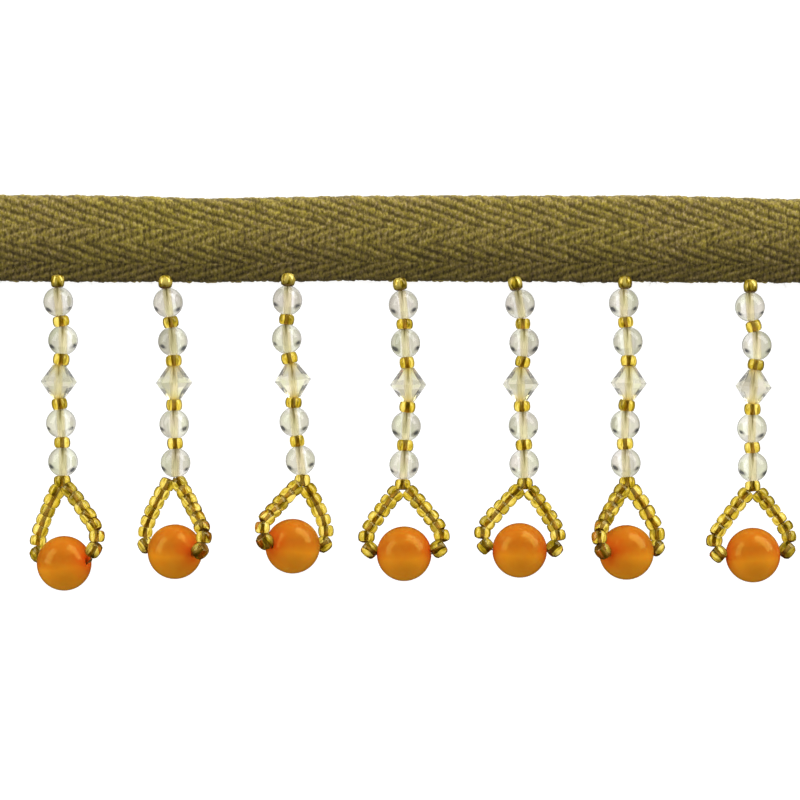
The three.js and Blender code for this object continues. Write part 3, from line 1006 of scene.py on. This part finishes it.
def tape_cotton(tape):
    """Matt olive cotton with flecks of other shades, and painted shade between its yarns, in small pits and
    towards the lower edge.
    """
    finish = Finish("tape_cotton")
    place = finish.place()
    fibre = finish.noise(finish.stretch(place, (9000, 2200, 9000)), 1.0, 3.0)
    patch = finish.noise(place, 240.0)
    fleck = finish.noise(finish.stretch(place, (1.0, 0.6, 1.0)), 1300.0, 1.0)
    speck = finish.noise(finish.stretch(place, (3600, 1700, 3600)), 1.0, 2.0)
    tone = finish.attribute("shade") * 0.3 + fibre * 0.5 + patch * 0.4 - 0.1
    yarn = finish.mix(tone, tape.dark, tape.light)
    yarn = finish.mix(finish.clamp(speck * 7.0 - 3.7) * 0.7, yarn, tape.bright)
    # Painted shade in small dark pits of the yarns
    yarn = finish.mix(finish.clamp(3.3 - speck * 7.0) * 0.75, yarn, tape.hollow_shade)
    black, white = (0, 0, 0), (1, 1, 1)
    yellow = finish.ramp(fleck, (0.6, black), (0.72, white))
    plum = finish.ramp(fleck, (0.28, white), (0.4, black))
    yarn = finish.mix(yellow * 0.35, yarn, tape.yellow)
    yarn = finish.mix(plum * 0.35, yarn, tape.plum)
    height = finish.attribute("height") + fibre * 0.3
    # Painted shade between the yarns, where the weave is low
    cloth = finish.mix(finish.eased(height, 0.1, 0.9), tape.hollow_shade, yarn)
    cloth = finish.tinted(cloth, finish.noise(place, 70.0), (1.05, 1.0, 1.25), (1.0, 1.05, 0.55))
    grain = finish.spread(finish.noise(place, 2200.0))
    cloth = finish.tinted(cloth, grain, (1.01, 0.98, 1.4), (0.99, 1.01, 0.6))
    lower = finish.attribute("lower")
    # Painted shade towards the lower edge
    cloth = finish.mix(lower * lower, cloth, tape.painted_lower_shade, "MULTIPLY")
    return finish.set(
        Base_Color=cloth,
        Roughness=0.95,
        Normal=finish.bump(fibre, 0.06 * MM, 0.7),
        Specular_IOR_Level=0.15,
        Sheen_Weight=0.1,
        Sheen_Roughness=0.6,
    )


FIBRE_SIDES, FIBRE_SPANS = 3, 4
FIBRE_RADIUS = 0.03  # sizes of a fibre are shares of its length
FIBRE_BEND = {"Start": (0, 0, -0.1), "Middle": (0.25, 0, 0.5), "End": (1, 0.25, 0.35)}
FIBRE_TURN = (0.5, 0.5, 3.1)  # how far a fibre leans two ways and turns, in radians
FIBRE_SIZE = (0.5, 1.5)


def fibre_growth():
    """Short bent fibres standing on a cloth wherever its fuzz attribute is set."""
    growth = Growth("Loose fibres", Density="size", Length="size", Seed="count", Material="material")
    seed = growth.given("Seed")
    where = {"Selection": growth.named("fuzz", "BOOLEAN"), "Density": growth.given("Density")}
    inputs = {"Mesh": growth.geometry, "Seed": seed, **where}
    roots = growth.add("GeometryNodeDistributePointsOnFaces", inputs=inputs)
    inputs = {"Resolution": FIBRE_SPANS, **FIBRE_BEND}
    bend = growth.add("GeometryNodeCurveQuadraticBezier", inputs=inputs)
    fibre = growth.tube(bend, growth.circle(FIBRE_SIDES, FIBRE_RADIUS))
    turn = growth.random(*either_way(FIBRE_TURN), seed)
    turn = growth.spun(roots.beside("Rotation"), turn)
    size = growth.random(*FIBRE_SIZE, seed + 1, "FLOAT") * growth.given("Length")
    return growth.end(growth.copies(roots, fibre, turn, size), "Material")


def fibre_cotton(tape):
    """The tape's cotton, seen fibre by fibre."""
    finish = Finish("loose_cotton")
    patch = finish.noise(finish.place(), 700.0)
    return finish.set(Base_Color=finish.mix(patch, tape.dark, tape.light), Roughness=0.9)


class FRINGE_OT_tape(bpy.types.Operator):
    """Make the folded herringbone tape"""

    bl_idname = "fringe.tape"
    bl_label = "Tape"

    def execute(self, context):
        tape = context.scene.fringe.tape
        add_piece(paint(tape_mesh(tape), tape_cotton(tape)), ["heading_tape"])
        return {"FINISHED"}


class FRINGE_OT_fibres(bpy.types.Operator):
    """Make the loose fibres on the tape"""

    bl_idname = "fringe.fibres"
    bl_label = "Loose fibres"

    def execute(self, context):
        tape = context.scene.fringe.tape
        mesh = fibre_growth().run(
            "heading_tape_fibres",
            bpy.data.objects["heading_tape_cloth"].data,
            Density=tape.fibres,
            Length=tape.fibre_length,
            Seed=5,
            Material=fibre_cotton(tape),
        )
        add_piece(mesh)
        return {"FINISHED"}


# Clear beads and balls

ROUND_RINGS, ROUND_SIDES = 20, 28
BALL_RINGS, BALL_SIDES = 32, 48
BALL_SPLIT = (0.4, 2.4)  # how much of the upper colour a ball has at its bore, and how fast that changes
BICONE_SIDES = 8
BORE_RINGS = 5
BORE_RIM = 1.35  # radius of a rim, in radii of its bore
RIM_DEPTH = 0.6  # depth of a rim, as a share of its width
# Painted light and shade of refraction on the clear beads, darker below their middle
UPPER_TONES = (1.0, 0.95, 0.8, 0.55, 0.35)
LOWER_TONES = (0.95, 0.7, 0.5, 0.3)
TONE_CHANGE = 0.64  # how far down a bead its tones change
DARK_REFLECTION = np.array((0.76, -0.38, 0.52))  # the way to the painted dark reflection on a bead's right side
DARK_REFLECTION_LEAN = (0.9, 0.43)  # the way of its length, out and up
DARK_REFLECTION_THIN = 2.2  # its length, in widths
DARK_REFLECTION_STRAY = 0.07  # how far its place differs from bead to bead
DARK_REFLECTION_SIZE = (0.3, 0.5)  # its least and greatest size, in radii of a bead


def smooth_bead(radius, bore, rings, sides):
    """A ball with a bore along Y whose rims are a little rounded, and which of its faces line the bore."""
    rim = bore * BORE_RIM
    end = math.acos(rim / radius)
    angle = np.linspace(-end, end, rings)
    outside = np.column_stack((radius * np.cos(angle), radius * np.sin(angle)))
    inner = outside[-1, 1] - RIM_DEPTH * (rim - bore)
    inside = np.column_stack((np.full(BORE_RINGS, bore), np.linspace(inner, -inner, BORE_RINGS)))
    row = np.arange(rings + BORE_RINGS)
    lining = (row >= rings) & (row < row[-1])
    return *turned(np.vstack((outside, inside)), sides), np.tile(lining, sides)


def cut_bicone(radius, half, tip, bore, sides):
    """A bicone along Y, cut in long triangles between its ends and its sharp girdle, with a corner of the
    girdle on each side, and which faces line its bore."""
    step = 2 * math.pi / sides
    rings = [(bore, -half, 0.5), (tip, -half, 0.5), (radius, 0.0, 0.0), (tip, half, 0.5), (bore, half, 0.5)]
    points, faces, lining = [], [], []
    for size, along, twist in rings:
        angle = (np.arange(sides) + twist) * step
        points.append(np.column_stack((size * np.cos(angle), np.full(sides, along), size * np.sin(angle))))
    for ring in range(len(rings)):
        after = (ring + 1) % len(rings)
        slant = rings[after][2] - rings[ring][2]
        for side in range(sides):
            beside = (side + 1) % sides
            a, b = ring * sides + side, ring * sides + beside
            c, d = after * sides + beside, after * sides + side
            if slant < 0:
                faces += [[a, c, d], [a, b, c]]
            elif slant > 0:
                faces += [[a, b, d], [b, c, d]]
            else:
                faces.append([a, b, c, d])
            lining += [after == 0] * (len(faces) - len(lining))
    return np.vstack(points), faces, np.array(lining)


def clear_glass(beads):
    """Polished clear glass with a few fine scuffs, painted light and shade in strips along the bore, painted
    shade at its outlines and painted dark reflections low on each side.
    """
    finish = Finish("clear_glass")
    place = finish.place()
    scuff = finish.noise(place, 1500.0, 3.0)
    streak = finish.noise(finish.stretch(place, (1400, 260, 1400)), 1.0)
    # Painted light and shade of refraction, in strips along the bore
    tone = finish.attribute("facet") + streak * 0.9 - 0.4
    glass = finish.mix(tone, darker(beads.clear, 0.35), beads.clear_lit_strip)
    glass = finish.mix(0.3, glass, beads.clear)
    tint = finish.spread(finish.noise(place, 420.0, 1.0))
    glass = finish.tinted(glass, tint, (1.02, 0.97, 1.0), (0.97, 1.0, 0.84))
    # Painted shade at the outline
    glass = finish.mix(finish.rim() ** 2 * 0.75, glass, beads.clear_rim_shade)
    # Painted dark reflections low on each side
    dark_reflection = finish.clamp(1.3 - finish.attribute("from_smoke") * 1.5 + streak * 0.8)
    glass = finish.mix(dark_reflection * 0.985, glass, beads.dark_reflection)
    return finish.set(Base_Color=glass, Roughness=scuff * 0.06, Transmission_Weight=1.0, IOR=1.5)


def champagne_glass(beads):
    """Pale cut glass with painted light and shade that differ from facet to facet, painted light on its
    sides, golden towards its ends.
    """
    finish = Finish("champagne_glass")
    place = finish.place()
    scuff = finish.noise(place, 1500.0, 3.0)
    cloud = finish.noise(place, 500.0)
    # Painted light and shade of refraction, facet by facet
    tone = finish.attribute("facet") * 1.1 + cloud * 0.4 - 0.25
    glass = finish.mix(finish.clamp(tone), beads.champagne_shaded, beads.champagne_lit)
    glass = finish.mix(0.3, glass, beads.champagne)
    near_end = finish.attribute("along") ** 2
    glass = finish.mix(finish.clamp(near_end * 1.7 - 0.25) * 0.9, glass, beads.champagne_end)
    tint = finish.spread(finish.noise(place, 420.0, 1.0))
    glass = finish.tinted(glass, tint, (1.03, 0.98, 1.05), (0.98, 1.01, 0.8))
    # Painted light on the sides
    flank = finish.clamp(finish.attribute("flank") * 2.5 - 1.5)
    glass = finish.mix(flank * 0.5, glass, beads.champagne_side_light)
    return finish.set(
        Base_Color=glass,
        Roughness=scuff * 0.1,
        Transmission_Weight=1.0,
        IOR=1.34,
        Alpha=0.86 - flank * 0.34,
    )


def bore_stain(beads):
    """The clear beads' bores: cream, with a dark line of thread under painted shade that fades downwards,
    and a painted reflection of the gold seeds at the ends.
    """
    made = bpy.data.materials.get("bore_stain")
    if made:
        return made
    finish = Finish("bore_stain")
    streak = finish.noise(finish.stretch(finish.place(), (2200, 300, 2200)), 1.0, 2.0)
    along = finish.attribute("along")
    across = finish.attribute("across")
    wide = (across + streak * 0.8 - 0.4) ** 2
    # The thread's line, with painted shade that fades downwards
    line = finish.clamp(1.1 - wide * 11.0) * finish.clamp(along * 1.6 + streak * 1.4 - 0.4)
    bore = finish.mix(finish.clamp(streak * 2.4 - 0.8), beads.stain_pale, beads.stain)
    bore = finish.mix(line, bore, beads.bore_thread_shade)
    # Painted reflection of the gold seeds
    bore = finish.mix(finish.clamp(along * along * 3.0 - 1.9), bore, beads.bore_seed_reflection)
    seen = finish.clamp(1.05 - across * across * 1.05)
    return finish.set(Base_Color=bore, Roughness=0.6, Alpha=seen)


def reflected_dark_spots(points, randomness):
    """How far points are from a bead's painted dark reflections, one low on each side, as a share of their
    size.
    """
    shares = []
    along, across = DARK_REFLECTION_LEAN
    for side in (-1, 1):
        spot = unit(DARK_REFLECTION * (side, 1, 1) + randomness.normal(0, DARK_REFLECTION_STRAY, 3))
        x, y, z = (unit(points) - spot).T
        long, short = along * x * side + across * y, along * y - across * x * side
        size = randomness.uniform(*DARK_REFLECTION_SIZE)
        shares.append(np.linalg.norm((long, DARK_REFLECTION_THIN * short, z), axis=0) / size)
    return np.minimum(*shares)


def refraction_tones(sides, rings, randomness):
    """Painted light and shade of refraction for each face of a bead: strips along the bore that change below
    its middle.
    """
    upper = randomness.choice(UPPER_TONES, sides // 2)
    lower = randomness.choice(LOWER_TONES, sides // 2)
    rows = np.arange(rings + BORE_RINGS) < round(TONE_CHANGE * rings)
    strip = np.arange(sides) // 2
    return np.where(rows, upper[strip][:, None], lower[strip][:, None]).ravel()


class FRINGE_OT_clear_beads(bpy.types.Operator):
    """Make the clear round beads"""

    bl_idname = "fringe.clear_beads"
    bl_label = "Clear round beads"

    def execute(self, context):
        settings = context.scene.fringe
        beads = settings.beads
        glass, stain = clear_glass(beads), bore_stain(beads)
        randomness = np.random.default_rng(3)
        points, faces, lining = smooth_bead(beads.round_radius, beads.round_bore, ROUND_RINGS, ROUND_SIDES)
        lining = np.tile(lining, len(ROUNDS))
        across = np.tile(points[:, 0], len(ROUNDS)) / beads.round_bore
        along = -np.tile(points[:, 1], len(ROUNDS)) / beads.round_radius
        for drop in drops(settings):
            shapes, dark_reflection, tones = [], [], []
            for index in ROUNDS:
                placed = drop.strung(points, index)
                shapes.append((placed, faces))
                dark_reflection.append(reflected_dark_spots(placed - drop.beads[index], randomness))
                tones.append(refraction_tones(ROUND_SIDES, ROUND_RINGS, randomness))
            mesh = paint(mesh_from(f"{drop.name}_rounds", *joined(shapes)), glass, stain, second=lining)
            add_values(mesh, from_smoke=dark_reflection, along=along, across=across)
            add_values(mesh, "FACE", facet=tones)
            nodes = [f"{drop.name}_{CLEAR_BEADS[index]}" for index in ROUNDS]
            add_piece(mesh, nodes, shades=False)
        return {"FINISHED"}


class FRINGE_OT_bicones(bpy.types.Operator):
    """Make the cut bicones"""

    bl_idname = "fringe.bicones"
    bl_label = "Bicones"

    def execute(self, context):
        settings = context.scene.fringe
        beads = settings.beads
        glass, stain = champagne_glass(beads), bore_stain(beads)
        half = beads.bicone_length / 2
        points, faces, lining = cut_bicone(
            beads.bicone_radius, half, beads.bicone_tip, beads.round_bore, BICONE_SIDES
        )
        x, y, z = points.T
        randomness = np.random.default_rng(8)
        for drop in drops(settings):
            mesh = mesh_from(f"{drop.name}_cut_bicone", drop.strung(points, BICONE), faces, smooth=False)
            paint(mesh, glass, stain, second=lining)
            add_values(mesh, along=-y / half, across=x / beads.round_bore, flank=np.abs(x) / np.hypot(x, z))
            add_values(mesh, "FACE", facet=randomness.random(len(faces)))
            add_piece(mesh, [f"{drop.name}_bicone"], shades=False)
        return {"FINISHED"}


def amber(beads):
    """Translucent amber, redder round the bore, with faint clouds, painted light on the lower half and
    painted shade low on the sides.
    """
    finish = Finish("amber_ball")
    cloud = finish.noise(finish.place(), 260.0, 2.0)
    upper = finish.attribute("upper")
    band = upper * (1 - upper) * 4
    red = finish.attribute("mouth") ** 5 * 0.9 + band * 0.12 + upper * 0.25 + cloud * 0.3 - 0.15
    # Painted light below the bore
    body = finish.mix(upper, beads.amber_lit_low, beads.amber)
    # Painted shade low on the sides
    body = finish.mix(finish.attribute("side") ** 3 * 0.8, body, beads.amber_side_shade)
    return finish.set(
        Base_Color=finish.mix(red, body, beads.amber_red),
        Roughness=cloud * 0.08 + 0.13,
        Subsurface_Weight=0.75,
        Subsurface_Radius=(1.0, 0.45, 0.12),
        Subsurface_Scale=2.2 * MM,
        Specular_IOR_Level=0.56,
        Specular_Tint=(1.0, 0.84, 0.08, 1.0),
        IOR=1.5,
    )


class FRINGE_OT_balls(bpy.types.Operator):
    """Make the amber balls"""

    bl_idname = "fringe.balls"
    bl_label = "Amber balls"

    def execute(self, context):
        settings = context.scene.fringe
        beads = settings.beads
        radius = beads.ball_radius
        finish = amber(beads)
        points, faces, _ = smooth_bead(radius, beads.ball_bore, BALL_RINGS, BALL_SIDES)
        mouth = np.abs(points[:, 1]) / radius
        at_bore, change = BALL_SPLIT
        upper = np.clip(at_bore - change * points[:, 0] / radius, 0, 1)
        for drop in drops(settings):
            placed = resting(stood(points, drop.bore, drop.ball))
            mesh = paint(mesh_from(f"{drop.name}_amber", placed, faces), finish)
            # How far round towards the table a point is, for painted shade
            side = 1 - np.clip((placed - drop.ball)[:, 2] / radius, 0, 1)
            add_values(mesh, mouth=mouth, upper=upper, side=side)
            add_piece(mesh, [f"{drop.name}_ball"])
        return {"FINISHED"}


# Seeds and threads

SEED_SIDES = 8
SEED_CORNERS = 0.38  # rounding of a seed's section, as a share of it
SEED_TURN = (1, 1, 9)  # how far a seed tilts two ways and turns on its thread, in wobbles
LINING_REACH = 0.45  # how far out a seed is lined, as a share of its glass
PLY_SIDES = 6
LAY = 1.6 * MM  # length of thread in which its plies turn once
THREAD_STEP = 3  # of a route's points, one in so many is on the thread


def seed_growth():
    """Rings with a rounded section, one on each point, turned along the point's axis."""
    sizes = dict.fromkeys(("Radius", "Bore", "Length", "Wobble", "Variety"), "size")
    counts = dict.fromkeys(("Sides", "Seed"), "count")
    materials = dict.fromkeys(("Glass", "Lined", "Lining"), "material")
    growth = Growth("Seeds on a thread", **sizes, **counts, **materials)
    radius, bore, seed = growth.given("Radius"), growth.given("Bore"), growth.given("Seed")
    circle = growth.circle(growth.given("Sides"), (radius + bore) * 0.5)
    circle = growth.add("GeometryNodeSetCurveNormal", {"mode": "Z_UP"}, {"Curve": circle})
    section = growth.add("GeometryNodeCurvePrimitiveQuadrilateral", inputs={"Width": 1.0, "Height": 1.0})
    corners = {"Curve": section, "Count": 2, "Radius": SEED_CORNERS}
    section = growth.add("GeometryNodeFilletCurve", {"mode": "POLY"}, corners)
    across = growth.vector_of(radius - bore, growth.given("Length"))
    section = growth.add("GeometryNodeTransform", inputs={"Geometry": section, "Scale": across})
    ring = growth.smooth(growth.tube(circle, section, capped=False))
    position = growth.add("GeometryNodeInputPosition")
    ring = growth.stored(ring, "in_seed", position, "FLOAT_VECTOR", "POINT")
    flat = growth.vector("MULTIPLY", {0: position, 1: (1, 1, 0)})
    lined = bore * (1 - LINING_REACH) + radius * LINING_REACH
    inside = growth.vector("LENGTH", {0: flat}, "Value").less_than(lined)
    ring = growth.stored(ring, "lining", inside, "BOOLEAN", "FACE")
    axis = {"Vector": growth.named("axis", "FLOAT_VECTOR")}
    turn = growth.add("FunctionNodeAlignRotationToVector", {"axis": "Z"}, axis)
    tilt = growth.random(*either_way(SEED_TURN), seed)
    turn = growth.spun(turn, growth.vector("SCALE", {0: tilt, "Scale": growth.given("Wobble")}))
    vary = growth.random(*either_way((1, 1, 1)), seed + 1)
    vary = growth.vector("SCALE", {0: vary, "Scale": growth.given("Variety")})
    wider, longer = growth.named("wider", "FLOAT"), growth.named("longer", "FLOAT")
    size = growth.vector("ADD", {0: vary, 1: growth.vector_of(wider, wider, longer)})
    placed = growth.copies(growth.geometry, ring, turn, size)
    return growth.end(placed, "Glass", lined="Lined", lining="Lining")


def gold_streaks_and_highlights(finish, beads, within):
    """Dark streaks and pale painted highlights along a seed's hole, placed by the point within the seed."""
    around = finish.stretch(within, (1700, 1700, 300))
    around = finish.vector("ADD", {0: around, 1: finish.stretch(finish.place(), (350, 350, 350))})
    # The pale stop is a painted highlight
    stops = ((0.38, darker(beads.gold, 0.3)), (0.47, beads.gold), (0.56, beads.gold_highlight))
    return finish.ramp(finish.noise(around, 1.0), *stops)


def lined_gold(beads):
    """Yellow glass over a bright lining, for the seeds at the tape, with painted shade towards their ends.
    """
    finish = Finish("lined_seed_glass")
    patch = finish.noise(finish.place(), 900.0)
    within = finish.attribute("in_seed", "Vector")
    near_end = (finish.z_of(within) / beads.seed_length + 0.02) ** 2
    # Painted shade towards both ends of the seed
    dark = finish.clamp(near_end * 2.6 + patch * 1.2 - 0.3) * 0.8
    gold = finish.mix(dark, gold_streaks_and_highlights(finish, beads, within), beads.gold_end_shade)
    return finish.set(Base_Color=gold, Metallic=0.4, Roughness=patch * 0.2 + 0.05)


def gold_glass(beads):
    """Yellow glass with streaks and painted highlights along the hole, and painted shade at its rims and
    towards a ball beside it.
    """
    finish = Finish("gold_seed_glass")
    patch = finish.noise(finish.place(), 900.0)
    within = finish.attribute("in_seed", "Vector")
    nearer = finish.z_of(within) / beads.seed_length
    shade = finish.clamp(nearer * 3.0 + patch * 0.8 - 0.45) * finish.attribute("by_ball")
    gold = finish.mix(shade * 0.9, gold_streaks_and_highlights(finish, beads, within), beads.gold_shade)
    # Painted shade at the outlines
    gold = finish.mix(finish.rim() ** 2 * 0.9, gold, beads.gold_rim_shade)
    return finish.set(
        Base_Color=gold,
        Roughness=patch * 0.1,
        Transmission_Weight=0.88,
        IOR=1.6,
        Specular_Tint=(1.0, 0.9, 0.45, 1.0),
    )


def gold_lining(beads):
    """The dark golden lining of the seeds' holes."""
    finish = Finish("seed_lining")
    patch = finish.noise(finish.place(), 900.0)
    gold = finish.mix(finish.spread(patch), darker(beads.lining, 0.4), beads.lining)
    return finish.set(Base_Color=gold, Metallic=0.25, Roughness=patch * 0.3 + 0.35)


class FRINGE_OT_seeds(bpy.types.Operator):
    """Make the gold seeds"""

    bl_idname = "fringe.seeds"
    bl_label = "Gold seeds"

    def execute(self, context):
        settings = context.scene.fringe
        beads = settings.beads
        growth = seed_growth()
        finishes = {"Glass": gold_glass(beads), "Lined": lined_gold(beads), "Lining": gold_lining(beads)}
        for count, drop in enumerate(drops(settings), start=1):
            points = bpy.data.meshes.new(f"{drop.name}_seed_places")
            points.from_pydata(drop.seeds.tolist(), [], [])
            order = np.arange(len(drop.seeds))
            by_ball = order >= len(order) - len(drop.ends)
            add_values(points, kind="FLOAT_VECTOR", axis=drop.seed_axes)
            add_values(points, longer=drop.seed_lengths, wider=drop.seed_widths, by_ball=by_ball)
            add_values(points, kind="BOOLEAN", lined=order == 0)
            mesh = growth.run(
                f"{drop.name}_seeds",
                points,
                Radius=beads.seed_radius,
                Bore=beads.seed_bore,
                Length=beads.seed_length,
                Wobble=beads.seed_wobble,
                Variety=beads.seed_variety,
                Sides=SEED_SIDES,
                Seed=count,
                **finishes,
            )
            add_piece(mesh, [f"{drop.name}_thread"], shades=False)
        return {"FINISHED"}


def thread_growth():
    """Two plies twisted along each line of edges."""
    growth = Growth("Twisted thread", Ply="size", Twist="size", Material="material")
    ply = growth.given("Ply")
    curve = growth.add("GeometryNodeMeshToCurve", inputs={"Mesh": growth.geometry})
    along = growth.add("GeometryNodeSplineParameter", output="Length")
    twist = {"Curve": curve, "Tilt": along * growth.given("Twist")}
    curve = growth.add("GeometryNodeSetCurveTilt", inputs=twist)
    circle = growth.circle(PLY_SIDES, ply)
    pair = growth.add("GeometryNodeJoinGeometry")
    for shift in (growth.vector_of(ply), growth.vector_of(0 - ply)):
        side = growth.add("GeometryNodeTransform", inputs={"Geometry": circle, "Translation": shift})
        growth.feed(pair.socket.node, {"Geometry": side})
    return growth.end(growth.smooth(growth.tube(curve, pair)), "Material")


def thread_cotton(beads):
    """Golden olive thread with fine fibres."""
    finish = Finish("bead_thread")
    fibre = finish.noise(finish.stretch(finish.place(), (6000, 1200, 6000)), 1.0)
    cotton = finish.mix(fibre, darker(beads.thread, 0.5), beads.thread)
    return finish.set(Base_Color=cotton, Roughness=0.7, Normal=finish.bump(fibre, 0.03 * MM))


class FRINGE_OT_threads(bpy.types.Operator):
    """Make the twisted threads"""

    bl_idname = "fringe.threads"
    bl_label = "Threads"

    def execute(self, context):
        settings = context.scene.fringe
        growth = thread_growth()
        inputs = {"Ply": settings.beads.ply_radius, "Twist": 2 * math.pi / LAY}
        inputs["Material"] = thread_cotton(settings.beads)
        for drop in drops(settings):
            points, edges = [], []
            for line in drop.lines():
                start = len(points)
                points.extend(line[::THREAD_STEP].tolist())
                edges.extend((index, index + 1) for index in range(start, len(points) - 1))
            path = bpy.data.meshes.new(f"{drop.name}_path")
            path.from_pydata(points, edges, [])
            add_piece(growth.run(f"{drop.name}_plies", path, **inputs))
        return {"FINISHED"}


# Stage

class FRINGE_OT_stage(bpy.types.Operator):
    """Make the floor, the lights and the camera"""

    bl_idname = "fringe.stage"
    bl_label = "Stage"

    def execute(self, context):
        scene = context.scene
        stage = scene.fringe.stage
        self.add_floor(scene, stage)
        self.add_sky(scene, stage)
        for name, lamp in LAMPS.items():
            self.add_light(scene, name, lamp, getattr(stage, f"{name}_power"))
        bpy.data.objects["key"].visible_glossy = False
        self.add_camera(scene, stage)
        scene.view_settings.view_transform = "Standard"
        return {"FINISHED"}

    @staticmethod
    def add_floor(scene, stage):
        half = stage.floor_size / 2
        corners = [(-half, -half, 0), (half, -half, 0), (half, half, 0), (-half, half, 0)]
        mesh = bpy.data.meshes.new("floor")
        mesh.from_pydata(corners, [], [(0, 1, 2, 3)])
        finish = Finish("floor_paper")
        grain = finish.noise(finish.place(), 30.0)
        paper = finish.set(
            Base_Color=finish.mix(grain, darker(stage.floor, 0.99), stage.floor),
            Roughness=0.9,
            Specular_IOR_Level=0.0,
            Emission_Color=(1, 1, 1, 1),
            Emission_Strength=stage.floor_glow,
        )
        floor = bpy.data.objects.new("floor", paint(mesh, paper))
        scene.collection.objects.link(floor)
        floor.visible_glossy = False

    @staticmethod
    def add_sky(scene, stage):
        world = bpy.data.worlds.new("studio")
        world.use_nodes = True
        sky = Tree(world.node_tree)
        height = sky.z_of(sky.add("ShaderNodeTexCoord", output="Generated"))
        strength = sky.eased(height, *SKY_HEIGHTS, stage.sky_low, stage.sky_high)
        sky.feed(world.node_tree.nodes["Background"], {"Color": (1, 1, 1, 1), "Strength": strength})
        scene.world = world
        world.cycles_visibility.glossy = False

    @staticmethod
    def add_light(scene, name, lamp, power):
        """Adds a soft light that shines on the middle of the fringe."""
        panel = bpy.data.lights.new(name, "AREA")
        panel.shape = "RECTANGLE"
        panel.size, panel.size_y = lamp.size
        panel.energy = power
        light = bpy.data.objects.new(name, panel)
        light.location = lamp.place
        light.rotation_euler = light.location.to_track_quat("Z", "Y").to_euler()
        scene.collection.objects.link(light)

    @staticmethod
    def add_camera(scene, stage):
        camera = bpy.data.cameras.new("camera")
        camera.lens = stage.lens
        half_angle = math.atan(camera.sensor_width / 2 / camera.lens)
        distance = stage.frame_width / 2 / math.tan(half_angle)
        camera.clip_start = distance / CLIP
        camera.clip_end = distance * CLIP
        seen_from = bpy.data.objects.new("camera", camera)
        seen_from.location = (0, stage.aim_y, distance)
        scene.collection.objects.link(seen_from)
        scene.camera = seen_from


class FRINGE_PT_panel(bpy.types.Panel):
    """Lists the fringe's pieces in the sidebar"""

    bl_label = "Beaded fringe"
    bl_idname = "FRINGE_PT_panel"
    bl_space_type = "VIEW_3D"
    bl_region_type = "UI"
    bl_category = "Fringe"

    def draw(self, context):
        for operator in OPERATORS:
            self.layout.operator(operator.bl_idname)


SETTINGS = (TapeSettings, BeadSettings, LoopSettings, StageSettings, FringeSettings)
OPERATORS = (
    FRINGE_OT_stage,
    FRINGE_OT_tape,
    FRINGE_OT_fibres,
    FRINGE_OT_threads,
    FRINGE_OT_clear_beads,
    FRINGE_OT_bicones,
    FRINGE_OT_balls,
    FRINGE_OT_seeds,
)
CLASSES = (*SETTINGS, *OPERATORS, FRINGE_PT_panel)


def register():
    for item in CLASSES:
        bpy.utils.register_class(item)
    bpy.types.Scene.fringe = PointerProperty(type=FringeSettings)


def unregister():
    del bpy.types.Scene.fringe
    for item in reversed(CLASSES):
        bpy.utils.unregister_class(item)


def main():
    register()
    bpy.ops.fringe.stage()
    bpy.ops.fringe.tape()
    bpy.ops.fringe.fibres()
    bpy.ops.fringe.threads()
    bpy.ops.fringe.clear_beads()
    bpy.ops.fringe.bicones()
    bpy.ops.fringe.balls()
    bpy.ops.fringe.seeds()


if __name__ == "__main__":
    main()
